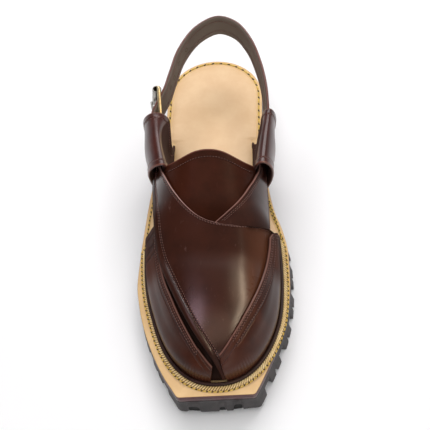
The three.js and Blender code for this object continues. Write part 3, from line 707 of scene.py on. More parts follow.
class Effects:
    """Shader groups that several finishes share, each built once."""


    def __init__(self) -> None:
        """Builds the groups."""
        self.grain = self.build_grain()
        self.rows = self.build_rows()
        self.rubbed_and_highlit = self.build_rubbed_and_highlit()

    def build_grain(self) -> NodeTree:
        """Leather grain: pebbles and pores over fine noise, with a slow mottle and thin scuffs."""
        takes = {"Scale": 900.0, "Mottle Scale": 26.0}
        tree, given, out = new_group("Leather grain", takes, ("Height", "Mottle", "Scuff"))
        place = tree.add("ShaderNodeTexCoord").outputs["Object"]
        cells = tree.add("ShaderNodeTexVoronoi", {"Vector": place, "Scale": given["Scale"]})
        pebble = tree.times(cells.outputs["Distance"], 0.55)
        fine = tree.noise(tree.times(given["Scale"], 2.1), 4.0, place)
        height = tree.math("ADD", pebble, tree.times(fine, 0.5))
        mottle = tree.noise(given["Mottle Scale"], 4.0, place, 0.6)
        long = tree.add("ShaderNodeMapping", {"Vector": place, "Scale": (260.0, 60.0, 260.0)}).outputs[0]
        scuff = tree.step(tree.noise(1.0, 3.0, long, 0.7), 0.62, 0.78)
        tree.feed(out, Height=height, Mottle=mottle, Scuff=scuff)
        return tree.tree

    def build_rows(self) -> NodeTree:
        """Sewn rows: a trough at two distances from a rim."""
        takes = {"Distance": 0.0, "First": 3.0, "Second": 6.0, "Width": 0.8}
        tree, given, out = new_group("Sewn rows", takes, ("Trough",))
        troughs = []
        for name in ("First", "Second"):
            off = tree.math("ABSOLUTE", tree.math("SUBTRACT", given["Distance"], given[name]))
            share = tree.math("DIVIDE", off, given["Width"])
            troughs.append(tree.step(share, 0.15, 1.0, 1.0, 0.0))
        tree.feed(out, Trough=tree.math("MAXIMUM", *troughs))
        return tree.tree

    def build_rubbed_and_highlit(self) -> NodeTree:
        """Rubbed rim with a painted highlight: 1 at the rim, broken by noise, 0 past its reach."""
        tree, given, out = new_group("Rubbed and highlit rim", {"Distance": 0.0, "Reach": 1.2}, ("Mask",))
        noise = tree.noise(420.0, 3.0)
        broken = tree.math("MULTIPLY_ADD", noise, 0.9, 0.55)
        share = tree.math("DIVIDE", given["Distance"], tree.times(given["Reach"], broken))
        tree.feed(out, Mask=tree.step(share, 0.2, 1.0, 1.0, 0.0))
        return tree.tree


def fresh(name: str) -> tuple[Material, Tree, Node]:
    """New material with its tree and its surface shader."""
    material = bpy.data.materials.new(name)
    material.use_nodes = True
    tree = Tree(material.node_tree)
    return material, tree, material.node_tree.nodes["Principled BSDF"]


@dataclass(frozen=True)
class Hide:
    """Polished leather: mottled, with painted shade in its sewn rows, pale at its rims from rubbing and a
    painted highlight, with a lining on its inner face.
    """

    name: str
    tint: Colour
    deep: Colour
    rim: Colour
    lining: Colour
    rows: Span = (4.5, 4.5)
    rim_reach: float = 0.35
    rub_and_highlight: float = 0.6
    rough: float = 0.33
    coat: float = 0.25
    gloss: float = 0.5
    polish: float = 0.2
    # Lighter brown painted where light falls on the vamp's medial side.
    painted_light: Colour = srgb(98, 56, 34)

    def material(self, effects: Effects) -> Material:
        """Builds the material.

        Args:
            effects: shared shader groups.

        Returns:
            The material.
        """
        material, tree, shader = fresh(self.name)
        edge, hem, inner = (tree.value(key) for key in ("edge", "hem", "inner"))
        grain = tree.group(effects.grain, Scale=1150.0)
        first, second = self.rows
        trough = tree.group(effects.rows, Distance=hem, First=first, Second=second)["Trough"]
        rubbed_and_highlit = tree.group(effects.rubbed_and_highlit, Distance=edge, Reach=self.rim_reach)["Mask"]
        back = tree.step(inner, 0.45, 0.75)
        dull = tree.math("MAXIMUM", back, tree.value("dull"))
        face = tree.mix(tree.step(grain["Mottle"], 0.36, 0.68), self.deep, self.tint)
        # Painted light: the vamp's medial side turns lighter brown.
        face = tree.mix(tree.times(tree.value("painted_light"), 0.62), face, self.painted_light)
        face = tree.mix(tree.times(grain["Scuff"], 0.10), face, self.rim)
        # Painted shade: the troughs of the sewn rows lean to the deep tone.
        face = tree.mix(tree.times(trough, 0.45), face, self.deep)
        # Pale rims: partly rubbing, partly a painted highlight on the outer half of the rounded edge.
        outer_half = tree.step(inner, 0.24, 0.4, self.rub_and_highlight, 0.0)
        face = tree.mix(tree.times(rubbed_and_highlit, outer_half), face, self.rim)
        worn = tree.mix(tree.times(grain["Mottle"], 0.55), self.lining, self.deep)
        rough = tree.about(grain["Mottle"], 0.16, self.rough)
        sunk = tree.times(trough, -2.2)
        height = tree.math("MULTIPLY_ADD", grain["Height"], 0.10, sunk)
        tree.feed(
            shader,
            Base_Color=tree.mix(back, face, worn),
            Roughness=tree.math("MULTIPLY_ADD", dull, 0.6, rough),
            Normal=tree.bump(height, 0.55, 0.0003),
            Coat_Weight=tree.step(dull, 0.0, 1.0, self.coat, 0.0) if self.coat else 0.0,
            Coat_Roughness=self.polish,
            Specular_IOR_Level=self.gloss,
        )
        return material


@dataclass(frozen=True)
class SoleLeather:
    """Tan sole leather: cloudy, with pores and, where it is worked, a stained edge and darker marks, partly
    painted shade between its ribs and along its sewn row.
    """

    name: str
    tint: Colour
    shade: Colour
    stain: Colour | None = None
    marks_and_gap_shade: Colour | None = None
    rough: float = 0.46

    def material(self, effects: Effects) -> Material:
        """Builds the material.

        Args:
            effects: shared shader groups.

        Returns:
            The material.
        """
        material, tree, shader = fresh(self.name)
        grain = tree.group(effects.grain, Scale=1500.0, Mottle_Scale=34.0)
        face = tree.mix(tree.step(grain["Mottle"], 0.34, 0.7), self.shade, self.tint)
        face = tree.mix(tree.times(grain["Scuff"], 0.22), face, self.shade)
        if self.marks_and_gap_shade is not None:
            # Partly tool marks, partly painted shade in the gaps between the ribs and along the sewn row.
            face = tree.mix(tree.times(tree.value("rib"), 0.9), face, self.marks_and_gap_shade)
            face = tree.mix(tree.times(tree.value("row"), 0.5), face, self.marks_and_gap_shade)
        if self.stain is not None:
            face = tree.mix(tree.step(tree.value("wall"), 0.35, 0.7), face, self.stain)
        tree.feed(
            shader,
            Base_Color=face,
            Roughness=tree.about(grain["Mottle"], 0.2, self.rough),
            Normal=tree.bump(tree.times(grain["Height"], 0.12), 0.6, 0.0003),
            Coat_Weight=0.05,
            Coat_Roughness=0.3,
            Specular_IOR_Level=0.4,
        )
        return material


@dataclass(frozen=True)
class Solid:
    """Plain stuff such as rubber, stained edge, thread or metal: two tones in clouds and fine bumps."""

    name: str
    tint: Colour
    shade: Colour
    rough: float
    cloud: float
    fine: float
    bump: float
    metal: float = 0.0
    coat: float = 0.0
    twist: float = 0.0
    # Colour of the painted shade in the rubber's toe pockets.
    pocket_shade: Colour | None = None

    def material(self, effects: Effects) -> Material:
        """Builds the material.

        Args:
            effects: shared shader groups.

        Returns:
            The material.
        """
        material, tree, shader = fresh(self.name)
        grain = tree.group(effects.grain, Scale=self.fine, Mottle_Scale=self.cloud)
        tone = tree.step(grain["Mottle"], 0.34, 0.68)
        height = grain["Height"]
        if self.twist:
            turns = tree.times(tree.value("along"), self.twist)
            wander = tree.math("MULTIPLY_ADD", tree.noise(900.0, 2.0), 4.0, turns)
            ply = tree.math("SINE", wander)
            # Painted shade: the grooves between the plies lean to the shade tone.
            tone = tree.times(tone, tree.step(ply, -0.9, 0.5, 0.45, 1.0))
            height = tree.math("ADD", height, ply)
        face = tree.mix(tone, self.shade, self.tint)
        rough = tree.about(grain["Mottle"], 0.22, self.rough)
        # Painted shade: the blind pockets behind the toe arches are coloured near black.
        if self.pocket_shade is not None:
            face = tree.mix(tree.value("pocket_shade"), face, self.pocket_shade)
            rough = tree.math("MAXIMUM", rough, tree.value("pocket_shade"))
        tree.feed(
            shader,
            Base_Color=face,
            Roughness=rough,
            Normal=tree.bump(height, self.bump, 0.0002),
            Metallic=self.metal,
            Coat_Weight=self.coat,
            Coat_Roughness=0.2,
        )
        return material


class Finishes:
    """All finishes of the shoe."""

    def __init__(self) -> None:
        """Builds the shared groups and each material once."""
        effects = Effects()
        brown, deep = srgb(68, 33, 21), srgb(44, 18, 10)
        rim, olive = srgb(124, 74, 62), srgb(122, 110, 98)
        dark_back, wine = srgb(52, 30, 22), srgb(84, 38, 40)
        # Vamp: its pale rim colour is partly a painted highlight.
        self.vamp = Hide(
            "vamp_leather", srgb(52, 21, 9), srgb(38, 13, 4), srgb(172, 134, 126), dark_back, (3.1, 4.6),
            rim_reach=0.45, rub_and_highlight=0.8, rough=0.28, coat=0.9, gloss=0.15, polish=0.26,
        ).material(effects)
        self.band = Hide(
            "band_leather", srgb(72, 34, 19), srgb(50, 21, 10), srgb(128, 90, 80), dark_back, (1.9, 6.5),
            coat=0.06, gloss=0.28,
        ).material(effects)
        # Near-black lining for the slot and the toe gap: a real lining, darkened as painted shade.
        self.lining = Hide(
            "shade_lining_leather", srgb(34, 16, 9), srgb(20, 9, 5), deep, deep, rough=0.75, coat=0.0, gloss=0.12,
        ).material(effects)
        self.strap = Hide(
            "strap_leather", brown, deep, srgb(150, 110, 100), dark_back, (2.6, 2.6), coat=0.06, gloss=0.2,
        ).material(effects)
        self.tongue = Hide(
            "tongue_leather", srgb(58, 24, 11), srgb(40, 14, 4), rim, srgb(120, 104, 58), (5, 5),
            rough=0.45, coat=0.0, gloss=0.1,
        ).material(effects)
        self.ear = Hide(
            "loop_leather", srgb(76, 32, 24), srgb(52, 20, 14), srgb(126, 80, 66), srgb(54, 22, 13),
            (4.4, 4.4),
        ).material(effects)
        self.heel_strap = Hide(
            "heel_strap_leather", srgb(72, 35, 29), deep, srgb(126, 78, 68), olive, (2.8, 2.8),
        ).material(effects)
        # Welt: tan, a wine stained edge, and darker marks that are partly painted shade.
        self.welt = SoleLeather(
            "welt_leather", srgb(230, 194, 140), srgb(216, 176, 120), wine, srgb(116, 80, 34),
        ).material(effects)
        self.insole = SoleLeather(
            "insole_leather", srgb(234, 200, 156), srgb(224, 186, 140),
        ).material(effects)
        self.midsole = Solid(
            "stained_edge", wine, srgb(62, 27, 29), 0.36, 90.0, 1200.0, 0.3, coat=0.2,
        ).material(effects)
        self.rand = Solid(
            "rand_cord", srgb(46, 21, 14), srgb(30, 12, 8), 0.6, 120.0, 900.0, 0.2,
        ).material(effects)
        # Rubber, coloured near black as painted shade in its toe pockets.
        self.rubber = Solid(
            "sole_rubber", srgb(70, 66, 66), srgb(52, 49, 49), 0.62, 75.0, 1600.0, 0.35, pocket_shade=srgb(8, 7, 7),
        ).material(effects)
        self.brass = Solid(
            "buckle_brass", srgb(250, 236, 192), srgb(232, 208, 150), 0.36, 240.0, 1600.0, 0.02, metal=1,
        ).material(effects)
        self.steel = Solid(
            "roller_steel", srgb(168, 166, 160), srgb(120, 118, 112), 0.3, 240.0, 1600.0, 0.1, metal=1,
        ).material(effects)
        self.yellow = Solid(
            "yellow_thread", srgb(238, 208, 112), srgb(206, 168, 70), 0.7, 600.0, 2400.0, 0.4, twist=9,
        ).material(effects)
        self.rib = Solid(
            "welt_rib", srgb(250, 226, 172), srgb(236, 204, 142), 0.5, 120.0, 1500.0, 0.3,
        ).material(effects)
        self.brown = Solid(
            "brown_thread", srgb(136, 96, 86), srgb(102, 66, 58), 0.6, 600.0, 2400.0, 0.4, twist=9,
        ).material(effects)
        # Dark beads and discs for awl holes and punched holes: painted shade, as no holes are cut.
        self.hole_shade = Solid(
            "awl_hole_shade", srgb(66, 46, 12), srgb(46, 32, 8), 0.85, 600.0, 2400.0, 0.3,
        ).material(effects)
        self.dark_hole_shade = Solid(
            "dark_awl_hole_shade", srgb(34, 14, 8), srgb(22, 9, 5), 0.85, 600.0, 2400.0, 0.3,
        ).material(effects)


@dataclass(frozen=True)
class Outline:
    """Closed rim of a sole layer: places in plan, directions inward, its spine and the sign of each side."""

    place: Array
    inward: Array
    spine: Array
    side: Array
    NEAR_SPINE = 0.96

    def inset(self, distance: Array | float) -> Array:
        """Rim moved towards the spine by a distance square to the rim, but not past the spine."""
        line = self.spine - self.place
        to_spine = unit(line)
        square = np.maximum(np.sum(to_spine * self.inward, axis=1), 0.5)
        room = np.linalg.norm(line, axis=1) * self.NEAR_SPINE
        far = np.minimum(np.broadcast_to(distance, square.shape) / square, room)
        return self.place + to_spine * far[:, None]


@dataclass(frozen=True)
class Plan:
    """Sides of a sole layer in plan: two edges over y, a straight toe and an elliptic heel."""

    lateral: Height
    medial: Height
    toe: float
    heel_half: float
    heel_reach: float
    skew: float = 0.0
    soften: int = 2
    STEP = 0.8
    HEEL_X = 0.4
    HEEL_Y = 112.0
    SPINE_FRONT = -105.0

    def outline(self) -> Outline:
        """Runs round from the medial toe corner by the heel to the lateral one, and back along the toe.

        Returns:
            The outline, its corners softened by a running mean.
        """
        y = np.linspace(self.toe, self.HEEL_Y, round((self.HEEL_Y - self.toe) / self.STEP) + 1)
        lean = self.skew * (1 - smooth(y - self.toe, 0, 8.0))
        turn = np.linspace(0, math.pi, round(2.4 * self.heel_half / self.STEP))[1:-1]
        heel_x = self.HEEL_X + self.heel_half * np.cos(turn)
        heel = np.stack([heel_x, self.HEEL_Y + self.heel_reach * np.sin(turn)], -1)
        medial = np.stack([self.medial(y), y + lean], -1)
        lateral = np.stack([self.lateral(y), y - lean], -1)[::-1]
        across = np.linspace(0, 1, round((medial[0, 0] - lateral[-1, 0]) / self.STEP) + 1)[1:-1, None]
        toe = lerp(lateral[-1], medial[0], across)
        place = np.concatenate([medial, heel, lateral, toe])
        station = np.concatenate([y, np.full(len(heel), self.HEEL_Y), y[::-1], np.full(len(toe), self.toe)])
        kernel = range(-self.soften, self.soften + 1)
        place = sum(np.roll(place, shift, 0) for shift in kernel) / len(kernel)
        spine_y = np.clip(station, self.SPINE_FRONT, self.HEEL_Y)
        spine = np.stack([(self.lateral(spine_y) + self.medial(spine_y)) / 2, spine_y], -1)
        ahead = unit(np.roll(place, -1, 0) - np.roll(place, 1, 0))
        inward = np.stack([-ahead[:, 1], ahead[:, 0]], -1)
        return Outline(place, inward, spine, np.sign(place[:, 0] - spine[:, 0]))


class Last:
    """Sole outline, heights of its layers and the shape of the last that the upper is drawn over."""

    BALL_Y = -43.0
    HALF = 49.2
    LENGTH = 99.6
    POWER = 2.2
    SPREAD = 2.5
    RIM = 0.9995
    TOE_Y = -152.6
    # Sole edges: y, lateral x and medial x.
    EDGES = (
        (-152.6, -23.6, 30.2), (-138, -33.2, 36.6), (-118, -42.8, 45), (-98, -50, 51.9), (-80, -54.4, 55.6),
        (-60, -57, 57), (-38, -56, 56.6), (-18, -54.2, 53), (0, -52.2, 47), (20, -49.4, 43.2),
        (42, -45.4, 40.6), (66, -41.4, 39.4), (90, -39.6, 39.6), (112, -39.1, 39.9),
    )
    # Top of the welt: y and height.
    WELT_TOP = (
        (-155, 28.2), (-138, 25.3), (-112, 22.3), (-80, 21), (-50, 21), (-20, 22.5), (10, 25.5), (40, 28.5),
        (80, 31), (155, 32),
    )
    # Underside: y, height, and how far the wall flares on the lateral and the medial side.
    GROUND = (
        (-155, 5.6, 0.6, 3), (-138, 3.4, 0.6, 3), (-116, 1, 0.8, 3), (-98, 0, 0.9, 3), (-4, 0, 0.9, 2.4),
        (16, 5, 0.8, 1.4), (34, 9, 0.8, 0.9), (55, 9.5, 0.9, 1), (60, 0, 1.2, 1.4), (155, 0, 2, 2),
    )
    # Ridge of the last: y, height over the welt, and x.
    RIDGE = (
        (-146, 43, 3.5), (-100, 45, 3.2), (-70, 46.5, 1.2), (-55, 49.5, 0.3), (-40, 54.5, -0.4),
        (-25, 60, -1), (-10, 65, -0.6), (8, 71, 0.4), (34, 76, 1),
    )
    # Half width of the last behind the ball: y and width.
    INSTEP = ((-43, 49.2), (-30, 49), (-14, 47), (4, 45.8), (20, 45), (34, 44.6))

    def __init__(self) -> None:
        """Makes the curves."""
        self.lateral, self.medial = keyed(self.EDGES)
        (self.welt_top,) = keyed(self.WELT_TOP)
        self.ground, self.flare_lateral, self.flare_medial = keyed(self.GROUND)
        self.ridge, self.centre = keyed(self.RIDGE)
        (self.instep,) = keyed(self.INSTEP)

    def floor(self, y: Array) -> Array:
        """Lowest height of leather over the welt."""
        return self.welt_top(y) + SEAM

    def radius(self, x: Array, y: Array) -> Array:
        """Share of the way from ridge, 0, to feather line, 1: straight behind the ball, oval ahead."""
        across = np.abs(x - self.centre(y))
        ahead = np.maximum(0, self.BALL_Y - y) / self.LENGTH
        oval = ((across / self.HALF) ** self.POWER + ahead**self.POWER) ** (1 / self.POWER)
        return np.where(y >= self.BALL_Y, across / self.instep(y), oval)

    def oval(self, angle: Array, half: Array | float, length: Array | float) -> tuple[Array, Array]:
        """Toe oval by its angle, 0 at the ball: distance beside the ridge, and y."""
        bent = 2 / self.POWER
        across = half * np.sign(np.cos(angle)) * np.abs(np.cos(angle)) ** bent
        return across, self.BALL_Y - length * np.sin(angle) ** bent

    def place(self, x: Array, y: Array) -> Array:
        """Top of the last over a place in plan: the ridge height times a flattened arch of the radius."""
        share = np.minimum(self.radius(x, y), self.RIM)
        height = self.ridge(y) * np.sqrt(1 - share**self.SPREAD)
        return np.stack([x, y, self.floor(y) + height], axis=-1)

    def feather(self, x: Array, y: Array) -> Array:
        """Distance in mm outside the feather line: the radius past 1 over its own slope."""
        step = 0.05
        slope_x = (self.radius(x + step, y) - self.radius(x - step, y)) / (2 * step)
        slope_y = (self.radius(x, y + step) - self.radius(x, y - step)) / (2 * step)
        return (self.radius(x, y) - 1) / np.maximum(np.hypot(slope_x, slope_y), 1e-4)

    def ring_line(self, out: float, rear: Span, high: float, ahead: float = 0.0) -> Array:
        """Line round the toe outside the feather line, from the lateral to the medial side.

        Args:
            out: mm outside the feather line.
            rear: y of its lateral and medial rear ends.
            high: height over the welt.
            ahead: mm further out at the toe.

        Returns:
            Places along the line.
        """
        turn = np.linspace(0, math.pi, 161)
        across, y = self.oval(turn, self.HALF + out, self.LENGTH + out + ahead)
        straight = [np.linspace(end, self.BALL_Y, 14, endpoint=False) for end in rear]
        first = self.centre(straight[0]) - self.instep(straight[0]) - out
        last = (self.centre(straight[1]) + self.instep(straight[1]) + out)[::-1]
        run_x = np.concatenate([first, self.centre(y) - across, last])
        run_y = np.concatenate([straight[0], y, straight[1][::-1]])
        return np.stack([run_x, run_y, self.welt_top(run_y) + high], axis=-1)

    def level(self, rise: float) -> Height:
        """Height over each y at an even rise over the top of the welt."""

        def height(y: Array) -> Array:
            """Height there."""
            return self.welt_top(y) + rise

        return height


def plate(
    outline: Outline,
    rows: Sequence[tuple[Array | float, Array | Height]],
    wall: Sequence[float] | None = None,
) -> Shell:
    """Sole layer: rings of the outline at insets and heights, from the spine below round to the one above.

    Args:
        outline: its rim.
        rows: inset of each ring, and its heights or a function of y that gives them.
        wall: 1 for rings of the side wall, 0 for the others, with the two spines, where a finish reads it.

    Returns:
        The shell, with the value across (mm) and, where it is given, wall.
    """
    rings = [outline.spine, *[outline.inset(inset) for inset, _ in rows], outline.spine]
    insets, heights = zip(rows[0], *rows, rows[-1])
    levels = [high(place[:, 1]) if callable(high) else high for place, high in zip(rings, heights)]
    points = np.concatenate([np.column_stack([place, level]) for place, level in zip(rings, levels)])
    wide = len(outline.place)
    values = {"across": np.concatenate([np.broadcast_to(inset, wide) for inset in insets])}
    if wall is not None:
        values["wall"] = np.repeat(np.asarray(wall, float), wide)
    return Shell(points, grid_quads(len(rings), wide, True), values)


@dataclass
class Sole:
    """Rubber outsole, stained midsole, tan welt, insole, rand and the sewing of the welt."""

    last: Last
    finishes: Finishes
    # Heel: half its width, and how far it reaches back.
    heel: Span = (39.5, 40.0)
    skew: float = 0.8
    welt_thick: float = 3.5
    midsole_thick: float = 4.5
    join: float = 0.02
    # Outsole: its wall, its foot, its toe face and what is cut into it.
    under_rings: tuple[float, ...] = (26.3, 25.7, 21.3, 20.7, 17.2, 16.8, 13.0, 9.0, 7.1, 6.8, 3.0)
    wall_shares: tuple[float, ...] = (0.14, 0.35, 0.55, 0.75, 0.9)
    crease_share: float = 0.75
    crease_deep: float = 0.45
    foot_round: float = 0.45
    bitten_flare: float = 0.8
    toe_facing: float = 0.8
    toe_start: float = -140.0
    toe_flare: Span = (0.8, 2.6)
    toe_pocket: float = 1.2
    # Toe notches: x, width and height. Side notches: outer and inner width, reach and height.
    # Slits: width, reach and height. Grooves: both insets and height.
    toe_notches: tuple[Place, ...] = ((-13.0, 9.0, 9.0), (6.5, 4.6, 8.0), (17.0, 7.0, 10.0))
    lug_pitch: float = 25.0
    notch: Four = (8.0, 5.0, 17.0, 6.0)
    slit: Place = (2.2, 7.0, 3.5)
    zones: tuple[Span, ...] = ((-136.0, -8.0), (72.0, 140.0))
    groove: Place = (21.0, 26.0, 4.5)
    groove_runs: tuple[Span, ...] = ((-96.0, -12.0), (70.0, 130.0))
    # Midsole: inset and share of its height. Welt: inset, share of its height and stain.
    midsole_section: tuple[Span, ...] = (
        (4, 0), (0.5, 0), (0.12, 0.05), (0, 0.16), (0, 0.5), (0, 0.84), (0.12, 0.95), (0.5, 1), (4, 1),
    )
    welt_edge: tuple[Place, ...] = (
        (5, -1.0, 1), (0.4, -1.0, 1), (0.1, -0.96, 1), (0, -0.85, 1), (0, -0.4, 1), (0.03, -0.2, 0.9),
        (0.2, -0.08, 0.3), (0.5, -0.02, 0),
    )
    welt_rings: tuple[float, ...] = (1, 1.6, 2.2, 2.8, 3.4, 4, 4.7, 5.5, 6.5, 8, 10, 13, 18)
    # Insole: its rim, its rings, its room inside the bands and the dip under the heel.
    insole_thick: float = 1.1
    insole_inset: float = 5.2
    insole_toe: float = -134.0
    insole_gap: float = 0.05
    insole_rings: tuple[Span, ...] = (
        (0, 0.1), (0.8, 0.34), (1.8, 0.6), (3, 0.82), (4.5, 0.95), (6, 1), (9, 1), (15, 1), (24, 1),
    )
    wall_room: float = 3.2
    open_room: float = 30.0
    ear_notch: Four = (17.0, 66.0, -31.2, 30.2)
    dip: float = 0.5
    dip_place: Span = (0.0, 108.0)
    dip_size: Span = (26.0, 30.0)
    # Rand and the sewn rows of the welt.
    band_ends: Span = (-31.0, -23.0)
    rand_out: float = 1.55
    rand_high: float = 1.3
    rand_radii: Span = (1.4, 1.25)
    row_out: float = 5.1
    row_ahead: float = 2.0
    row_ahead_run: Span = (112.0, 146.0)
    row_medial: float = 1.1
    row_medial_run: Span = (10.0, 40.0)
    row_inset: float = 2.8
    row_turn: float = -31.0
    row_overlap: float = 1.0
    heel_row: float = 60.0
    sewn: tuple[tuple[str, float, float], ...] = (("welt", 3.75, 1.15), ("heel", 7.0, 1.5))
    rib_pitch: float = 1.9
    rib_lean: float = 2.6
    rib_inner: float = 2.5

    def build(self) -> None:
        """Builds and dresses each layer."""
        outline = Plan(self.last.lateral, self.last.medial, self.last.TOE_Y, *self.heel, self.skew).outline()
        self.build_outsole(outline)
        self.build_midsole(outline)
        self.build_welt(outline)
        self.build_insole()
        self.build_rand()
        self.sew(outline)
        self.rib()

    def bites(self, y: Array, inset: float) -> Array:
        """Height of the side notches and slits over the ground.

        Args:
            y: places along the sole.
            inset: distance from its edge.

        Returns:
            Heights: a notch at each pitch that narrows inward, a slit halfway between.
        """
        wide, narrow, reach, deep = self.notch
        slit_wide, slit_reach, slit_deep = self.slit
        half = lerp(wide, narrow, min(1.0, inset / reach)) / 2
        slit_run = [slit_wide / 2 + soft for soft in (-0.2, 0.4)]
        high = np.zeros_like(y)
        for start, end in self.zones:
            number = np.arange(math.floor((end - start) / self.lug_pitch) + 1)
            notch_at = start + number * self.lug_pitch
            slit_at = (notch_at + self.lug_pitch / 2)[notch_at + self.lug_pitch / 2 < end]
            off = np.abs(y[:, None] - notch_at).min(axis=1)
            cut = np.abs(y[:, None] - slit_at).min(axis=1)
            if inset < reach:
                bite = 1 - smooth(off, half - 0.3, half + 0.3)
                high = np.maximum(high, deep * bite)
            if inset < slit_reach:
                high = np.maximum(high, slit_deep * (1 - smooth(cut, *slit_run)))
        return high

    def underside(self, outline: Outline, inset: float) -> Array:
        """Heights of one ring of the underside.

        Args:
            outline: rim of the sole.
            inset: distance of the ring from the rim.

        Returns:
            The ground curve, raised by notches, slits, grooves and, on the rim alone, toe arches.
        """
        place = outline.inset(inset)
        y = outline.place[:, 1]
        at_side = outline.spine[:, 1] < 111.9
        at_toe = (y < self.last.TOE_Y + 3.0) & (np.abs(outline.inward[:, 1]) > self.toe_facing)
        high = np.where(at_side & ~at_toe, self.bites(y, inset), 0.0)
        if inset == 0:
            for x, wide, deep in self.toe_notches:
                off = np.clip(np.abs(place[:, 0] - x) / (wide / 2), 0, 1)
                arch = deep * np.sqrt(np.maximum(0, 1 - off**4))
                high = np.where(at_toe, np.maximum(high, arch), high)
        inner, outer, deep = self.groove
        if inner < inset < outer:
            soft = 2.0
            for start, end in self.groove_runs:
                inside = smooth(y, start - soft, start + soft) * (1 - smooth(y, end - soft, end + soft))
                high = np.maximum(high, deep * inside * at_side)
        return self.last.ground(place[:, 1]) + high

    def build_outsole(self, outline: Outline) -> None:
        """Rubber block: a wall that flares to the ground, a rounded foot and a bitten underside."""
        top = self.last.level(-self.welt_thick - self.midsole_thick - SEAM)
        x, y = outline.place.T
        flare = np.where(outline.side < 0, self.last.flare_lateral(y), self.last.flare_medial(y))
        at_toe = np.abs(outline.inward[:, 1]) > self.toe_facing
        crown = 1 - np.clip((x - 2.0) / 26.0, -1, 1) ** 2
        flare = np.where(at_toe & (y < self.toe_start), lerp(*self.toe_flare, crown), flare)
        kernel = range(-3, 4)
        flare = sum(np.roll(flare, shift) for shift in kernel) / len(kernel)
        low = self.underside(outline, 0.0)
        bitten = (low - self.last.ground(y)) / self.notch[3]
        flare = flare * (1 - self.bitten_flare * np.clip(bitten, 0, 1) * ~at_toe)
        rows = [(inset, self.underside(outline, inset)) for inset in self.under_rings]
        rows.append((self.toe_pocket - flare * at_toe, self.underside(outline, self.toe_pocket)))
        rows.append((0.35 - flare, low + self.join))
        rows.append((-flare * 0.97, low + self.foot_round))
        for share in self.wall_shares:
            sunk = self.crease_deep * (share == self.crease_share)
            rows.append((-flare * (1 - share) + sunk, lerp(low + self.foot_round, top(y), share)))
        rows += [(0.0, top), (2.0, top)]
        shell = plate(outline, rows)
        # The ring of the pockets and the foot outside it stand one row further on, after the spine.
        row = np.arange(len(shell.points)) // len(outline.place) - len(self.under_rings)
        sunk = np.isin(row, (1, 2)) & (shell.points[:, 1] < self.last.TOE_Y + 5.0)
        beside = [np.abs(shell.points[:, 0] - at) < wide / 2 for at, wide, _ in self.toe_notches]
        # Painted shade: marks the toe pockets, which the rubber colours near black.
        shell.values["pocket_shade"] = (sunk & np.any(beside, axis=0)).astype(float)
        piece("outsole_rubber", shell, self.finishes.rubber, Slot.RUBBER, ("outsole",), 38.0)

    def build_midsole(self, outline: Outline) -> None:
        """Stained edge layer with a shallow waist groove at both of its joins."""
        rows = []
        for inset, share in self.midsole_section:
            drop = self.welt_thick + self.midsole_thick * (1 - share) + self.join
            rows.append((inset, self.last.level(-drop)))
        shell = plate(outline, rows)
        piece("midsole_edge", shell, self.finishes.midsole, Slot.MIDSOLE, ("midsole",), 50.0)

    def medial_shift(self, x: Array) -> Array:
        """How much further out the sewn row runs on the medial side."""
        return self.row_medial * smooth(x, *self.row_medial_run)

    def build_welt(self, outline: Outline) -> None:
        """Tan border with a rounded top edge and a stained side, darker along its ribs and its sewn row, partly
        as painted shade.
        """
        section = (*self.welt_edge, *((inset, 0, 0) for inset in self.welt_rings))
        rows = [(inset, self.last.level(share * self.welt_thick)) for inset, share, _ in section]
        shell = plate(outline, rows, [1.0, *[wall for _, _, wall in section], 0.0])
        x, y = shell.points[:, 0], shell.points[:, 1]
        far = self.last.feather(x, y)
        row_at = self.row_out + self.row_ahead * smooth(-y, *self.row_ahead_run) + self.medial_shift(x)
        ahead = y < np.where(x < 0, *self.band_ends)
        top = 1 - shell.values["wall"]
        ribbed = smooth(far, 1.6, 2.4) * (1 - smooth(far - row_at, -0.9, -0.3))
        shell.values["rib"] = ribbed * ahead * top
        off = np.where(y < self.row_turn, far - row_at, shell.values["across"] - self.row_inset)
        shell.values["row"] = hump(off, 0, 0.7) * top
        piece("welt_border", shell, self.finishes.welt, Slot.WELT, ("welt",), 60.0)

    def build_insole(self) -> None:
        """Footbed skived thin at its rim, notched for the loops, that dips a little under the heel."""
        last = self.last
        start, end, lateral_notch, medial_notch = self.ear_notch

        def half(y: Array) -> Array:
            """Room inside the bands in front of the instep."""
            ahead = np.clip((last.BALL_Y - y) / last.LENGTH, 0, 1)
            oval = last.HALF * (1 - ahead**last.POWER) ** (1 / last.POWER)
            return oval - self.wall_room + self.open_room * smooth(y, -30.0, 10.0)

        def lateral(y: Array) -> Array:
            """Lateral edge."""
            edge = np.maximum(last.lateral(y) + self.insole_inset, last.centre(y) - half(y))
            return np.where((y > start) & (y < end), np.maximum(edge, lateral_notch), edge)

        def medial(y: Array) -> Array:
            """Medial edge."""
            edge = np.minimum(last.medial(y) - self.insole_inset, last.centre(y) + half(y))
            return np.where((y > start) & (y < end), np.minimum(edge, medial_notch), edge)

        heel = [size - self.insole_inset for size in self.heel]
        outline = Plan(lateral, medial, self.insole_toe, *heel, soften=1).outline()
        bottom = last.level(self.insole_gap)
        rows = [(inset, bottom) for inset in (3, 0.3)]
        for inset, share in self.insole_rings:
            rows.append((inset, last.level(self.insole_gap + share * self.insole_thick)))
        shell = plate(outline, rows)
        x, y = shell.points[:, 0], shell.points[:, 1]
        deep = smooth(shell.values["across"], 1.0, 20.0)
        bells = [hump(at, *bell) for at, *bell in zip((x, y), self.dip_place, self.dip_size)]
        high = shell.points[:, 2] > bottom(y) + self.insole_thick / 2
        shell.points[:, 2] -= np.where(high, self.dip * bells[0] * bells[1] * deep, 0)
        piece("insole_footbed", shell, self.finishes.insole, Slot.INSOLE, ("insole",), 50.0)

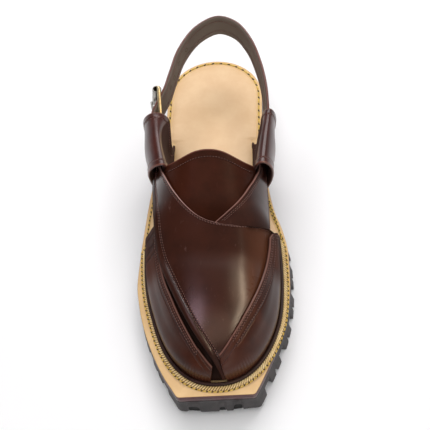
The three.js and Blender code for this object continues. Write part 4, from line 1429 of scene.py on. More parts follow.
    def build_rand(self) -> None:
        """Cord along the foot of the bands."""
        path = self.last.ring_line(self.rand_out, self.band_ends, self.rand_high)
        section = ring(1.0, 14) * self.rand_radii
        shell = carried(path, section, UP, False, 1.2)
        piece("rand_cord", shell, self.finishes.rand, Slot.RAND, ("rand",))

    def sew(self, outline: Outline) -> None:
        """Yellow rows round the welt and the heel, with dark beads between their stitches as painted shade for
        the awl holes.
        """
        row = outline.inset(self.row_inset)
        behind = (row[:, 1] > self.row_turn + self.row_overlap) & (row[:, 1] < self.ear_notch[0])
        lateral, medial = (row[behind & (row[:, 0] * side.value > 0)] for side in Side)
        turn = self.row_turn - self.row_overlap
        front = self.last.ring_line(self.row_out, (turn, turn), 0, self.row_ahead)[:, :2]
        front[:, 0] += self.medial_shift(front[:, 0])
        paths = {
            "welt": np.concatenate([lateral, front, medial[::-1]]),
            "heel": row[row[:, 1] > self.heel_row],
        }
        for name, pitch, wide in self.sewn:
            path = paths[name]
            places = np.column_stack([path, self.last.welt_top(path[:, 1]) + 0.03])
            middle = (places[:-2] + places[1:-1] + places[2:]) / 3
            places = np.concatenate([places[:1], middle, places[-1:]])
            lines = [(places, np.tile(UP, (len(places), 1)))]
            thread = Thread(pitch, pitch * 0.84, wide, 0.1)
            piece(f"{name}_stitches", thread.sew(lines), self.finishes.yellow, Slot.WELT)
            # Painted shade: dark beads between the stitches stand for the awl holes.
            sizes = [wide * share for share in (2.0, 0.8)]
            holes = Thread(pitch, *sizes, 0.12, start=1.0, slant=0.25)
            piece(f"{name}_awl_holes", holes.sew(lines), self.finishes.hole_shade, Slot.WELT)

    def rib(self) -> None:
        """Slanted ribs on the welt between the rand and its sewn row."""
        inner = self.last.ring_line(self.rib_inner, self.band_ends, 0.0)
        outer = self.last.ring_line(self.row_out - 0.6, self.band_ends, 0.0, self.row_ahead)
        outer[:, 0] += self.medial_shift(outer[:, 0])
        run = running(inner)
        at = np.arange(self.rib_lean, run[-1] - self.rib_lean, self.rib_pitch)
        starts, ends = read(inner, run, at), read(outer, run, at - self.rib_lean)
        thread = Thread(self.rib_pitch, 0.0, self.rib_pitch * 0.7, 0.16)
        piece("welt_ribs", thread.span(starts, ends), self.finishes.rib, Slot.WELT)


@dataclass
class Upper:
    """Vamp, toe bands, slot lining, toe liner, medial strap and tongue, laid on each other over the last."""

    last: Last
    finishes: Finishes
    sheets: dict[str, Sheet] = field(default_factory=dict)
    inside: Place = (1.0, -40.0, 8.0)
    # Toe bands: share of the run behind the ball, bulge, hem, climb over the vamp, pleats and tacks.
    straight_run: float = 0.16
    bulge: float = 1.7
    waves: float = 6.0
    hem_lateral: float = 4.6
    hem_medial: float = 7.6
    hem_high: float = 0.85
    climb: float = 2.05
    pleat_high: float = 0.26
    pleat_pitch: float = 2.3
    tack_lines: tuple[float, ...] = (4.6, 12.0, 14.4, 19.6)
    tack_deep: float = 0.55
    # Ends of the bands: y of the rear end at the foot and the top, degrees of the toe end there.
    lateral_ends: Four = (-31.0, -33.0, 85.0, 87.8)
    medial_ends: Four = (-22.0, -38.5, 81.3, 86.2)
    # Upper edges of the bands: share of the run, radius of the lateral and the medial one.
    band_edge: tuple[Place, ...] = (
        (0, 0.745, 0.885), (0.16, 0.755, 0.85), (0.28, 0.755, 0.805), (0.4, 0.751, 0.762),
        (0.5, 0.745, 0.736), (0.6, 0.754, 0.725), (0.7, 0.775, 0.733), (0.78, 0.805, 0.755),
        (0.86, 0.85, 0.79), (1, 0.945, 0.885),
    )
    # Lining in the slot beside the vamp and liner behind the toe gap.
    slot_run: Span = (0.05, 1.0)
    slot_radius: Span = (0.04, 0.18)
    slot_low: Span = (-2.1, -4.1)
    slot_toe: Span = (-0.5, -0.9)
    liner_radius: Span = (0.9985, 0.86)
    liner_angle: Span = (70.0, 110.0)
    liner_sink: Span = (-0.6, -3.4)
    # Vamp: lateral and medial edge in plan, lift of its lateral edge and roll along it.
    vamp_rows: tuple[Four, ...] = (
        (8.6, -141.6, 13.5, -141.2), (1.2, -131, 17.5, -134), (-7, -119.5, 27.5, -122.5),
        (-16.4, -103, 36.6, -105), (-22.6, -90, 43, -84), (-26.4, -81.4, 46.6, -60), (-29.4, -74, 46.3, -34),
        (-33.2, -63.6, 34, -40.6), (-35.6, -54, 21, -43.6), (-37, -46, 10, -43.2), (-38, -37, 0.6, -41),
        (-38.6, -27, -7.6, -37), (-39.4, -16, -16.8, -28.6), (-40.4, -5, -25.2, -16.6), (-41, 7, -31.8, -3),
        (-41, 18.5, -36.6, 10), (-41, 30, -39.4, 26),
    )
    tip: float = 0.5
    lift: Span = (2.6, 2.2)
    roll_high: float = 0.75
    roll_middle: float = 1.7
    roll_half: float = 2.2
    roll_line: Place = (0.25, 4.4, 0.7)
    # Medial strap and tongue: their edges in plan, and how far they lie below the vamp.
    strap_rows: tuple[Four, ...] = (
        (40.2, 26, 43, 28), (39.6, 11, 44, 13), (36.4, -1, 44.8, 3), (31.6, -11.6, 45.2, -7),
        (27, -20.2, 45.4, -15), (20.8, -28.4, 45.6, -23), (13, -35.8, 45.6, -32), (4.2, -43.6, 45, -41.5),
        (-2, -56, 42, -55),
    )
    tongue_rows: tuple[Four, ...] = (
        (-22, 20, -50, 0), (-30, 33, -42, 0), (-36, 39, -26, 0.5), (-37, 40, -10, 2), (-35, 38, 3.0, 4.4),
    )
    tongue_flank: float = 6.0
    below: float = 2.1
    # Polish: where the leather is dull, dull along turned edges, and painted light: lighter brown on the vamp's
    # medial side.
    dull_share: float = 0.85
    dull_runs: tuple[Span, Span] = ((-78.0, -58.0), (-36.0, -16.0))
    turned_dull: float = 0.8
    painted_light_runs: tuple[Span, Span] = ((18.0, 40.0), (-112.0, -84.0))
    # Sewn rows: panel, rim, distances from it and the part of each row that is sewn.
    sewn: tuple[tuple[str, Rim, tuple[float, ...], Span], ...] = (
        ("vamp", Rim.LOW, (4.5, 6.1), (0.05, 0.98)),
        ("vamp", Rim.HIGH, (2.9, 4.6), (0.4, 0.98)),
        ("tongue", Rim.END, (5.0,), (0.06, 0.94)),
        ("medial_strap", Rim.HIGH, (2.6,), (0.1, 0.9)),
        ("medial_strap", Rim.LOW, (3.2, 5.0), (0.1, 0.85)),
        ("lateral_band", Rim.HIGH, (1.6, 3.6), (0.1, 0.9)),
        ("medial_band", Rim.HIGH, (1.3, 2.7), (0.08, 0.89)),
        ("medial_band", Rim.HIGH, (6.5,), (0.14, 0.89)),
        ("medial_band", Rim.START, (2.0,), (0.1, 0.9)),
        ("medial_band", Rim.START, (4.2,), (0.1, 0.85)),
    )
    stitch_pitch: float = 2.1
    stitch: Place = (1.25, 0.48, 0.1)
    # Dark beads painted as shade in the awl holes: length, width and how proud.
    awl_hole_shade: Place = (0.8, 0.68, -0.16)
    tack_thread: Thread = Thread(1.3, 1.5, 0.6, 0.0)

    def build(self) -> None:
        """Builds, dresses and sews each panel."""
        finish = self.finishes
        end, low, high = attrgetter("end"), attrgetter("low"), attrgetter("high")
        panels = (
            ("tongue", self.tongue(), finish.tongue, end, end),
            ("medial_strap", self.medial_strap(), finish.strap, Reach.sides, low),
            ("slot_lining", self.slot_lining(), finish.lining, high, high),
            ("toe_liner", self.toe_liner(), finish.lining, high, high),
            ("lateral_band", self.band(Side.LATERAL), finish.band, high, high),
            ("vamp", self.vamp(), finish.vamp, Reach.sides, high),
            ("medial_band", self.band(Side.MEDIAL), finish.band, high, high),
        )
        for name, sheet, material, hem, worn in panels:
            self.sheets[name] = sheet
            self.dress(name, sheet.shell(hem, worn), material)
        self.sew()

    def dress(self, name: str, shell: Shell, material: Material) -> None:
        """Makes one panel an object, with the values dull and, on the vamp, painted_light, which paints its
        medial side lighter.
        """
        front, rear = (smooth(shell.points[:, 1], *run) for run in self.dull_runs)
        turned = self.turned_dull * (1 - smooth(shell.values["across"], 1.0, 3.5))
        shell.values["dull"] = np.maximum(self.dull_share * front * (1 - rear), turned)
        # Painted light: the medial side of the vamp, behind the toe, is painted lighter.
        if name == "vamp":
            runs = enumerate(self.painted_light_runs)
            beside, behind = (smooth(shell.points[:, axis], *run) for axis, run in runs)
            shell.values["painted_light"] = beside * behind
        piece(name, shell, material, Slot.UPPER, ("upper",))

    def sheet(self, place: Surface, steps: Steps, relief: Relief, thick: Relief | float = LEATHER) -> Sheet:
        """Panel over the last."""
        return Sheet(place, steps, relief, thick, self.inside, self.last.floor)

    @staticmethod
    def between(rows: Sequence[Sequence[float]]) -> Callable[[Array, Array], tuple[Array, Array]]:
        """Plan place between two lines, whose x and y are the columns of a table."""
        first_x, first_y, second_x, second_y = columns(rows)

        def plan(u: Array, v: Array) -> tuple[Array, Array]:
            """Straight blend of both lines."""
            return lerp(first_x(u), second_x(u), v), lerp(first_y(u), second_y(u), v)

        return plan

    def edge(self, side: Side, run: Array) -> Array:
        """Radius of a band's upper edge along its run."""
        lateral, medial = keyed(self.band_edge)
        return lateral(run) if side is Side.LATERAL else medial(run)

    def on_band(self, side: Side, run: Array, up: Array, radius: Array) -> Array:
        """Place on the last by run along a band and radius.

        The first part of the run is straight back from the ball; the rest is an angle round the toe oval.

        Args:
            side: side of the foot.
            run: share along the band from its rear end to the toe.
            up: share of its height, which slants both of its ends.
            radius: radius on the last.

        Returns:
            Places.
        """
        ends = self.lateral_ends if side is Side.LATERAL else self.medial_ends
        rear_base, rear_top, toe_base, toe_top = ends
        last = self.last
        straight = np.clip(run / self.straight_run, 0, 1)
        behind_y = lerp(lerp(rear_base, rear_top, up), last.BALL_Y, straight)
        behind_x = last.centre(behind_y) + side.value * radius * last.instep(behind_y)
        share = np.clip((run - self.straight_run) / (1 - self.straight_run), 0, 1)
        angle = np.radians(lerp(toe_base, toe_top, up)) * share
        across, ahead_y = last.oval(angle, radius * last.HALF, radius * last.LENGTH)
        ahead_x = last.centre(ahead_y) + side.value * across
        behind = run <= self.straight_run
        return last.place(np.where(behind, behind_x, ahead_x), np.where(behind, behind_y, ahead_y))

    def band(self, side: Side) -> Sheet:
        """Toe band on the feather line: bulged at its foot, hemmed along its top, pleated at the toe."""
        lateral = side is Side.LATERAL
        wide = self.hem_lateral if lateral else self.hem_medial

        def radius(run: Array, up: Array) -> Array:
            """Radius on the last: the feather line at the foot, the upper edge at the top."""
            return 1 - (1 - self.edge(side, run)) * up**2

        def place(run: Array, up: Array) -> Array:
            """Place on the band."""
            return self.on_band(side, run, up, radius(run, up))

        def relief(run: Array, up: Array, reach: Reach) -> Array:
            """Bulge, hem and pleats; the lateral band has tack grooves, the medial one climbs the vamp."""
            share = np.minimum(radius(run, up), self.last.RIM)
            turn = self.waves * np.arcsin(np.sqrt(1 - share**self.last.SPREAD))
            belly = self.bulge * np.where(turn < math.pi, np.sin(turn) ** 2, 0)
            short = smooth(reach.end, 14.4, 15.2)
            hem = 1 - smooth(reach.high, wide - 0.35, wide + 0.35)
            seam = hump(reach.high, wide + 0.7, 0.6)
            hemmed = (self.hem_high * hem - 0.3 * seam) * short
            toe = 1 - smooth(reach.end, 12.0, 24.0)
            rise, fall = (smooth(up, *span) for span in ((0.04, 0.15), (0.34, 0.6)))
            wave = np.cos(2 * math.pi * reach.end / self.pleat_pitch)
            pleat = self.pleat_high * wave * toe * rise * (1 - fall)
            if lateral:
                tacks = [hump(reach.start, far, 0.7) for far in self.tack_lines]
                last = -self.tack_deep * sum(tacks)
            else:
                last = self.climb * smooth(up, 0.3, 0.75)
            return belly + hemmed + pleat + last

        return self.sheet(place, (230, 80), relief)

    def slot_lining(self) -> Sheet:
        """Near-black lining that hangs from the lateral band down into the slot beside the vamp, partly painted
        shade of the slot.
        """
        over, under = self.slot_radius

        def place(u: Array, v: Array) -> Array:
            """Place below the band's edge."""
            run = lerp(*self.slot_run, u)
            radius = self.edge(Side.LATERAL, run) + over - under * v
            return self.on_band(Side.LATERAL, run, np.ones_like(run), radius)

        def relief(u: Array, v: Array, reach: Reach) -> Array:
            """Well below the band, but up to its edge where it bridges to the vamp at the toe."""
            return lerp(lerp(*self.slot_low, v), lerp(*self.slot_toe, v), smooth(u, 0.9, 0.97))

        return self.sheet(place, (120, 14), relief, 1.2)

    def toe_liner(self) -> Sheet:
        """Near-black liner that closes the gap between the toe ends of both bands from inside, short of the
        welt, partly painted shade of the gap.
        """
        last = self.last

        def place(u: Array, v: Array) -> Array:
            """Place on the last across the toe, from above the welt up under the vamp."""
            radius = lerp(*self.liner_radius, v)
            angle = np.radians(lerp(*self.liner_angle, u))
            across, y = last.oval(angle, radius * last.HALF, radius * last.LENGTH)
            return last.place(last.centre(y) - across, y)

        def relief(u: Array, v: Array, reach: Reach) -> Array:
            """Near the bands at its foot, well below them further up."""
            return lerp(*self.liner_sink, smooth(v, 0.0, 0.3))

        return self.sheet(place, (60, 24), relief, 1.0)

    def vamp(self) -> Sheet:
        """Vamp with its arm: its lateral edge stands off the band and is thickened like a turned edge."""
        plan = self.between(self.vamp_rows)

        def place(u: Array, v: Array) -> Array:
            """Place on the vamp."""
            return self.last.place(*plan(u, v))

        def relief(u: Array, v: Array, reach: Reach) -> Array:
            """Lift of the lateral edge, soft flex troughs and a raised turned edge at the neck."""
            tip = lerp(self.tip, 1.0, smooth(u, 0.0, 0.08))
            lift = lerp(*self.lift, smooth(u, 0.38, 0.6)) * tip * (1 - v) ** 3
            arch = np.clip(1 - ((reach.low - self.roll_middle) / self.roll_half) ** 2, 0, 1)
            line_deep, *line = self.roll_line
            turned = self.roll_high * np.sqrt(arch) * tip - line_deep * hump(reach.low, *line)
            neck = 0.3 * (1 - smooth(reach.high, 2.0, 3.2)) * smooth(u, 0.36, 0.4)
            x, y = plan(u, v)
            middle = smooth(np.abs(x - 4.0), 34.0, 10.0)
            flex = -0.12 * hump(y + 0.25 * x, -58.0, 8.0) * middle
            return lift + turned + neck + flex

        def thick(u: Array, v: Array, reach: Reach) -> Array:
            """Thicker along the turned lateral edge."""
            return LEATHER + 0.9 * (1 - smooth(reach.low, 1.0, 4.0)) * smooth(u, 0.02, 0.1)

        return self.sheet(place, (230, 140), relief, thick)

    def medial_strap(self) -> Sheet:
        """Strap from under the vamp up to the medial loop."""
        plan = self.between(self.strap_rows)

        def place(u: Array, v: Array) -> Array:
            """Place on the strap."""
            return self.last.place(*plan(u, v))

        def relief(u: Array, v: Array, reach: Reach) -> Array:
            """Evenly below the vamp."""
            return np.full_like(u, -self.below)

        return self.sheet(place, (130, 60), relief)

    def tongue(self) -> Sheet:
        """Tongue under vamp and strap, its rear edge crowned."""
        lateral, medial, at, crown = columns(self.tongue_rows)

        def place(u: Array, v: Array) -> Array:
            """Place of the tongue."""
            flank = self.tongue_flank * u**4 * np.abs(2 * v - 1) ** 6
            y = at(u) + crown(u) * np.sin(math.pi * v) ** 3 + flank
            return self.last.place(lerp(lateral(u), medial(u), v), y)

        def relief(u: Array, v: Array, reach: Reach) -> Array:
            """Below the vamp, and below the strap too on the medial side."""
            return -self.below - self.below * smooth(v, 0.3, 0.55)

        return self.sheet(place, (90, 110), relief)

    def sew(self) -> None:
        """Rows of brown stitches on the panels that show, with dark beads between them as painted shade for the
        awl holes, and the tacks of the lateral band, dark as painted shade in their grooves.
        """
        lines = []
        for name, rim, distances, keep in self.sewn:
            lines += [self.sheets[name].row(far, rim, keep) for far in distances]
        stitches = Thread(self.stitch_pitch, *self.stitch).sew(lines)
        piece("upper_stitches", stitches, self.finishes.brown, Slot.UPPER)
        # Painted shade: dark beads between the stitches stand for the awl holes.
        holes = Thread(self.stitch_pitch, *self.awl_hole_shade, start=1.0).sew(lines)
        piece("upper_awl_holes", holes, self.finishes.dark_hole_shade, Slot.UPPER)
        band = self.sheets["lateral_band"]
        # The tacks take the same dark colour, painted shade along their grooves.
        tacks = [band.row(far, Rim.START, (0.2, 0.95)) for far in self.tack_lines]
        piece("tack_stitches", self.tack_thread.sew(tacks), self.finishes.dark_hole_shade, Slot.UPPER)


@dataclass
class Loops:
    """Two folded leather loops that hold the straps."""

    last: Last
    finishes: Finishes
    thick: float = 2.2
    leg: float = 0.6
    hollow_top: float = 0.8
    matt_shaded_leg: Span = (46.0, 54.0)
    hem_high: float = 0.35
    slack_high: float = 0.5
    row: float = 4.4
    thread: Thread = Thread(1.9, 1.5, 0.55, 0.05)
    # Front lip, middle and rear lip: ridge x, y and z, x of the inner and the outer shoulder, their height,
    # y of the foot, x of the inner and the outer foot, and how far the inner leg is hollowed forward.
    rows: tuple[tuple[Side, tuple[tuple[float, ...], ...]], ...] = (
        (Side.LATERAL, (
            (-33.4, 7, 80.6, -29.6, -46.8, 60, 22, -31.9, -44, 0),
            (-37.6, 31, 80.6, -34.6, -50.2, 61, 41, -31.9, -41, 0),
            (-41, 57, 78.6, -31.4, -52.2, 65, 61, -31.9, -38.2, 13),
        )),
        (Side.MEDIAL, (
            (39.4, 7, 78.8, 32.4, 47.6, 61, 20, 30.9, 40.2, 0),
            (42.2, 31, 78.6, 34.8, 49.2, 62, 40, 30.9, 37.8, 0),
            (45.6, 57, 77.8, 39.8, 50.4, 66, 61, 30.9, 36.8, 9),
        )),
    )

    def build(self) -> None:
        """Builds and dresses both loops and sews their lips."""
        lines = []
        for side, rows in self.rows:
            name = f"ear_{side.name.lower()}"
            sheet = self.loop(rows)
            shell = sheet.shell(Reach.ends, Reach.ends)
            # The inner leg, facing the foot, turns matte and takes the darker lining colour, partly as painted
            # shade.
            matt_shade = 1 - smooth(shell.values["across"], *self.matt_shaded_leg)
            shell.values["inner"] = np.maximum(shell.values["inner"], matt_shade)
            piece(f"{name}_leather", shell, self.finishes.ear, Slot.LOOPS, (name,))
            lines += [sheet.row(self.row, rim, (0.04, 0.96)) for rim in (Rim.START, Rim.END)]
        piece("loop_stitches", self.thread.sew(lines), self.finishes.brown, Slot.LOOPS)

    def loop(self, rows: tuple[tuple[float, ...], ...]) -> Sheet:
        """One loop: an inner leg, a round fold and an outer leg across, carried from lip to lip."""
        ridge_x, ridge_y, ridge_z, inner_x, outer_x, shoulder, foot_y, *feet, hollow = columns(rows)

        def place(u: Array, v: Array) -> Array:
            """Place on the loop."""
            inner = v < 0.5
            foot = np.where(inner, feet[0](u), feet[1](u))
            side = np.where(inner, inner_x(u), outer_x(u))
            up = 1 - np.abs(2 * v - 1)
            base = self.last.floor(foot_y(u))
            leg = np.minimum(1, up / self.leg)
            fold = math.pi / 2 * np.maximum(0, (up - self.leg) / (1 - self.leg))
            leg_x = lerp(foot, side, np.sin(math.pi / 2 * leg))
            x = lerp(leg_x, ridge_x(u), 1 - np.cos(fold))
            z = lerp(lerp(base, shoulder(u), leg), ridge_z(u), np.sin(fold))
            height = np.clip((z - base) / (ridge_z(u) - base), 0, 1)
            inward = np.where(inner, hollow(u), 0) * np.sin(math.pi * np.minimum(1, height / self.hollow_top))
            y = lerp(foot_y(u), ridge_y(u), np.sqrt(height)) - inward
            return np.stack([x, y, z], axis=-1)

        def relief(u: Array, v: Array, reach: Reach) -> Array:
            """Turned hems along both lips and slack folds in the outer leg."""
            hem = self.hem_high * (1 - smooth(reach.ends(), 3.4, 4.6))
            rise, fall = (smooth(v, *run) for run in ((0.55, 0.75), (0.85, 1.0)))
            wave = np.sin(2 * math.pi * (u * 1.5 + v * 0.8))
            return hem + self.slack_high * wave * rise * (1 - fall)

        centre = place(np.array(0.5), np.array([0.05, 0.5, 0.95])).mean(axis=0)
        return Sheet(place, (70, 130), relief, self.thick, tuple(centre), self.last.floor)


@dataclass
class HeelStrap:
    """Strap on edge from the lateral loop through the buckle, round the heel, into the medial loop."""

    last: Last
    finishes: Finishes
    width: float = 15.0
    thick: float = 2.8
    spread: float = 0.12
    edge_share: float = 0.5
    sunk: float = 0.25
    inside: Place = (3.0, 70.0, 70.0)
    row: float = 2.8
    thread: Thread = Thread(2.2, 1.8, 0.6, 0.02)
    # Top edge of the strap.
    path: tuple[Place, ...] = (
        (-45, 45, 70.6), (-44.6, 60, 73.6), (-35, 81, 79.6), (-30.8, 95, 82.6), (-24, 115, 87),
        (-10.5, 134, 91), (6.5, 142.5, 92.6), (21.5, 136, 92), (32.5, 121, 88.8), (39.6, 102, 83.4),
        (43.6, 82, 78.4), (44.8, 60, 73.4), (44.4, 46, 71),
    )
    # Punched holes: shares along the strap, and radius and height of the dished disc.
    hole_shares: tuple[float, ...] = (0.205, 0.255, 0.305, 0.355)
    hole_sides: int = 20
    hole_profile: tuple[Span, ...] = (
        (0, -0.25), (0.9, -0.2), (1.35, -0.02), (1.6, 0.03), (1.75, -0.1), (0, -0.4),
    )

    def build(self) -> None:
        """Builds the strap, its sewn rows and dark discs painted as shade for its punched holes."""
        top = spline(np.array(self.path, float), 18)
        ahead = unit(np.gradient(top, axis=0) * (1, 1, 0))
        out = np.stack([-ahead[:, 1], ahead[:, 0], np.zeros(len(top))], axis=-1)
        number = np.arange(len(top))

        def place(u: Array, v: Array) -> Array:
            """Middle of the strap: down from its top edge and leaning in."""
            at = u * (len(top) - 1)
            drop = (self.width * v)[..., None]
            return read(top, number, at) - read(out, number, at) * self.spread * drop - drop * UP

        def relief(u: Array, v: Array, reach: Reach) -> Array:
            """Half its thickness, sunk outside its sewn rows."""
            return self.thick / 2 - self.sunk + self.sunk * smooth(reach.sides(), 2.2, 3.4)

        sheet = Sheet(place, (216, 32), relief, self.thick, self.inside, self.last.floor)
        shell = sheet.shell(Reach.sides, Reach.sides)
        inner = (shell.values["inner"] - self.edge_share) / (1 - self.edge_share)
        shell.values["inner"] = np.clip(inner, 0, 1)
        piece("heel_strap_leather", shell, self.finishes.heel_strap, Slot.STRAP, ("heel_strap",))
        lines = [sheet.row(self.row, rim, (0.14, 0.9)) for rim in (Rim.LOW, Rim.HIGH)]
        inside = [(places - normals * (self.thick + 0.02), -normals) for places, normals in lines]
        stitches = self.thread.sew(lines + inside)
        piece("heel_strap_stitches", stitches, self.finishes.brown, Slot.STRAP)
        self.punch(sheet)

    def punch(self, sheet: Sheet) -> None:
        """Punched holes, drawn as dark dished discs in both faces of the strap's middle line: painted shade, as
        no hole is cut.
        """
        places, normals = sheet.row(self.width / 2, Rim.LOW)
        at = [round(share * (len(places) - 1)) for share in self.hole_shares]
        places, normals = places[at], normals[at]
        side = unit(np.cross(normals, UP))
        up = np.cross(side, normals)
        turn = circle(self.hole_sides)[:, None]
        spread = np.cos(turn) * side[:, None] + np.sin(turn) * up[:, None]
        radius, height = np.array(self.hole_profile).T[:, :, None, None]
        quads = grid_quads(len(radius), self.hole_sides, True)
        starts = np.arange(len(at))[:, None, None] * len(radius) * self.hole_sides
        discs = []
        for face, lift in ((1, 0.03), (-1, -self.thick - 0.03)):
            middle = places + normals * lift
            raised = (face * normals)[:, None, None] * height
            points = middle[:, None, None] + spread[:, None] * radius + raised
            turned = (quads + starts).reshape(-1, 4)[:, ::face]
            discs.append(Shell(points.reshape(-1, 3), turned, {}))
        # Painted shade: the dark discs stand for holes that are not cut.
        piece("heel_strap_hole_shades", joined(discs), self.finishes.hole_shade, Slot.STRAP)


@dataclass
class Buckle:
    """Wire frame, roller tube on its far bar and prong."""

    finishes: Finishes
    wire: float = 1.25
    bend: float = 2.6
    corners: tuple[Place, ...] = (
        (-37.8, 54.5, 72), (-39.4, 80.5, 83), (-42.4, 80.5, 60.4), (-40.6, 54.5, 52),
    )
    roller_outer: float = 3.5
    roller_inner: float = 2.8
    roller_long: float = 16.5
    roller_round: Span = (0.2, 0.25)
    roller_sides: int = 40
    prong_radius: float = 0.9
    prong: tuple[Place, ...] = ((-40.4, 57.3, 63), (-44.4, 66.5, 66.6), (-46.6, 77, 68))

    def build(self) -> None:
        """Builds and dresses the three parts."""
        self.build_frame()
        self.build_roller()
        self.build_prong()

    def build_frame(self) -> None:
        """Closed wire with rounded corners: each corner is a quadratic bend between its two sides."""
        corner = np.array(self.corners, float)
        into = unit(corner - np.roll(corner, 1, 0))
        leave = unit(np.roll(corner, -1, 0) - corner)
        start, end = corner - into * self.bend, corner + leave * self.bend
        share = np.linspace(0, 1, 9)[:, None]
        straight = np.linspace(0, 1, 12)[1:-1, None]
        path = []
        for a, b, c, following in zip(start, corner, end, np.roll(start, -1, 0)):
            path.append((1 - share) ** 2 * a + 2 * share * (1 - share) * b + share**2 * c)
            path.append(lerp(c, following, straight))
        normal = unit(np.cross(corner[1] - corner[0], corner[3] - corner[0]))
        shell = carried(np.concatenate(path), ring(self.wire, 14), normal, True)
        piece("buckle_frame_wire", shell, self.finishes.brass, Slot.BRASS, ("buckle_frame",))

    def build_roller(self) -> None:
        """Tube with rounded ends: an outline of wall and bore turned about the far bar."""
        top, low = np.array(self.corners[1], float), np.array(self.corners[2], float)
        axis = unit(low - top)
        centre = (top + low) / 2 - np.array([self.roller_inner - self.wire - SEAM, 0, 0])
        half, outer, inner = self.roller_long / 2, self.roller_outer, self.roller_inner
        lip, corner = self.roller_round
        outline = np.array([
            (inner, -half + lip), (inner + lip, -half), (outer - lip, -half), (outer, -half + corner),
            (outer, -half / 2), (outer, 0), (outer, half / 2), (outer, half - corner), (outer - lip, half),
            (inner + lip, half), (inner, half - lip), (inner, 0),
        ])
        side = unit(np.cross(axis, (0.0, 1.0, 0.0)))
        front = np.cross(axis, side)
        turn = circle(self.roller_sides)[:, None, None]
        spread = np.cos(turn) * side + np.sin(turn) * front
        points = centre + spread * outline[None, :, :1] + axis * outline[None, :, 1:]
        quads = grid_quads(self.roller_sides, len(outline), True, True)
        shell = Shell(points.reshape(-1, 3), quads, {})
        steel, nodes = self.finishes.steel, ("buckle_roller",)
        piece("buckle_roller_tube", shell, steel, Slot.STEEL, nodes, 40.0)

    def build_prong(self) -> None:
        """Round rod, gently bowed, with round ends."""
        path = spline(np.array(self.prong, float), 12)
        shell = carried(path, ring(self.prong_radius, 12), UP, False, self.prong_radius)
        piece("buckle_prong_rod", shell, self.finishes.steel, Slot.STEEL, ("buckle_prong",))


@dataclass(frozen=True)
class Lamp:
    """Rectangular light: place and size in metres, watts, colour and degrees about its own direction."""

    name: str
    place: Place
    size: Span
    power: float
    tint: Place
    spin: float = 0.0
    glow: Glow = Glow.FULL

    def build(self, middle: Place) -> None:
        """Aims the light, its length along the shoe where it stands beside or above it; no camera sees it.

        Args:
            middle: place that it shines at.
        """
        lamp = bpy.data.lights.new(self.name, "AREA")
        lamp.shape = "RECTANGLE"
        lamp.size, lamp.size_y = self.size
        lamp.energy = self.power
        lamp.color = self.tint
        thing = bpy.data.objects.new(self.name, lamp)
        direction = (Vector(self.place) - Vector(middle)).normalized()
        beside = abs(direction.y) < 0.6
        along = Vector((0, 1, 0)) if beside else Vector((0, 0, 1))
        side = along.cross(direction).normalized()
        up = direction.cross(side)
        turn = Matrix((side, up, direction)).transposed().to_4x4()
        turn = turn @ Matrix.Rotation(math.radians(self.spin), 4, "Z")
        thing.matrix_world = Matrix.Translation(Vector(self.place)) @ turn
        thing.visible_camera = False
        thing.visible_diffuse = self.glow is not Glow.REFLECTED
        thing.visible_glossy = self.glow is not Glow.DIFFUSE
        bpy.context.scene.collection.objects.link(thing)


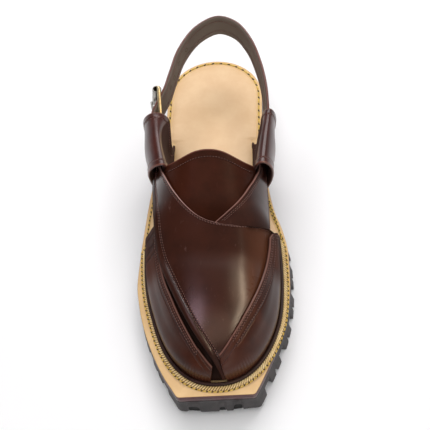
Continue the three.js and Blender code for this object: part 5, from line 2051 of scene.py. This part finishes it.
@dataclass
class Studio:
    """Pale floor, soft lights and the camera."""

    WARM = (1.0, 0.80, 0.58)
    # Camera: place in mm, degrees down and to the side, focal length, frame and middle of it in pixels.
    eye: Place = (47.62, -391.9, 608.7)
    elevation: float = 56.5
    azimuth: float = -2.32
    focal: float = 907.0
    frame: float = 430.0
    centre: Span = (133.0, 214.4)
    sensor: float = 36.0
    # Lights, and the place in metres that they shine at.
    middle: Place = (0.0, -0.05, 0.05)
    lamps: tuple[Lamp, ...] = (
        Lamp("strip_right", (0.819, 0.095, 0.951), (0.096, 0.36), 2.4, WARM, 34.0, Glow.REFLECTED),
        Lamp("strip_low", (0.759, -0.301, 0.994), (0.108, 0.48), 2.6, WARM, -31.0, Glow.REFLECTED),
        Lamp("glow_right", (0.567, 0.095, 1.124), (0.25, 0.30), 0.5, (1.0, 0.76, 0.52), 0.0, Glow.REFLECTED),
        Lamp("glow_side", (1.02, 0.08, 0.66), (0.36, 0.55), 0.7, (1.0, 0.42, 0.22), 0.0, Glow.REFLECTED),
        Lamp("panel_mauve", (-0.112, -0.149, 0.4), (0.14, 0.14), 0.25, (1.0, 0.68, 0.8), 0.0, Glow.REFLECTED),
        Lamp("panel_front", (0.08, -0.415, 0.90), (0.63, 0.40), 1.1, (1.0, 0.68, 0.52), 0.0, Glow.REFLECTED),
        Lamp("soft_back", (0.06, 0.70, 1.0), (1.2, 0.5), 8.5, (1.0, 0.97, 0.98)),
        Lamp("soft_front", (0.30, -1.08, 0.55), (0.8, 0.5), 1.6, (1.0, 0.98, 0.96)),
        Lamp("fill_above", (0.0, -0.1, 1.3), (2.2, 2.2), 20.0, (1.0, 1.0, 1.0), 0.0, Glow.DIFFUSE),
    )
    # Tones of the floor.
    floor_tones: tuple[Colour, Colour] = ((0.93, 0.93, 0.935, 1), (0.96, 0.96, 0.965, 1))
    # Tones of the surroundings, low down and overhead.
    room_tones: tuple[Colour, Colour] = ((0.55, 0.55, 0.57, 1), (0.03, 0.03, 0.03, 1))

    def build(self) -> None:
        """Builds everything that isn't the shoe."""
        self.build_floor()
        self.build_world()
        for lamp in self.lamps:
            lamp.build(self.middle)
        self.build_camera()
        bpy.context.scene.view_settings.view_transform = "Standard"

    def build_floor(self) -> None:
        """Wide pale floor with a faint cloud in its tone."""
        far = 3.0
        mesh = bpy.data.meshes.new("floor")
        corners = [(-far, -far, 0), (far, -far, 0), (far, far, 0), (-far, far, 0)]
        mesh.from_pydata(corners, [], [(0, 1, 2, 3)])
        material, tree, shader = fresh("floor_paper")
        tone = tree.mix(tree.noise(3.0, 2.0), *self.floor_tones)
        tree.feed(shader, Base_Color=tone, Roughness=0.8, Specular_IOR_Level=0.2)
        mesh.materials.append(material)
        floor = bpy.data.objects.new("floor", mesh)
        bpy.context.scene.collection.objects.link(floor)

    def build_world(self) -> None:
        """Surroundings that are pale low down and dim overhead, and show white behind the shoe."""
        world = bpy.data.worlds.new("pale_room")
        world.use_nodes = True
        tree = Tree(world.node_tree)
        seen = tree.add("ShaderNodeLightPath").outputs["Is Camera Ray"]
        sky = tree.add("ShaderNodeTexCoord").outputs["Generated"]
        rise = tree.add("ShaderNodeSeparateXYZ", {0: sky}).outputs["Z"]
        band = tree.mix(tree.step(rise, 0.05, 0.55), *self.room_tones)
        back = world.node_tree.nodes["Background"]
        tree.feed(back, Color=tree.mix(seen, band, (1, 1, 1, 1)), Strength=1.0)
        bpy.context.scene.world = world

    def build_camera(self) -> None:
        """Camera at the viewpoint, turned so that the shoe is in the middle of the frame."""
        rise, turn = math.radians(self.elevation), math.radians(self.azimuth)
        level = math.cos(rise)
        ahead = Vector((-math.sin(turn) * level, math.cos(turn) * level, -math.sin(rise)))
        right = ahead.cross(Vector((0, 0, 1))).normalized()
        up = right.cross(ahead)
        off_x, off_y = ((at - self.frame / 2) / self.focal for at in self.centre)
        aim = (ahead + right * off_x - up * off_y).normalized()
        right = (right - aim * right.dot(aim)).normalized()
        up = right.cross(aim)
        camera = bpy.data.cameras.new("camera")
        camera.sensor_width = self.sensor
        camera.lens = self.focal / self.frame * self.sensor
        thing = bpy.data.objects.new("camera", camera)
        turned = Matrix((right, up, -aim)).transposed().to_4x4()
        thing.matrix_world = Matrix.Translation(Vector(self.eye) * MM) @ turned
        bpy.context.scene.collection.objects.link(thing)
        bpy.context.scene.camera = thing


def main() -> None:
    """Builds the shoe on its frame and the stage round it."""
    logging.basicConfig(level=logging.INFO)
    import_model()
    last, finishes = Last(), Finishes()
    Sole(last, finishes).build()
    Upper(last, finishes).build()
    Loops(last, finishes).build()
    HeelStrap(last, finishes).build()
    Buckle(finishes).build()
    Studio().build()


if __name__ == "__main__":
    main()
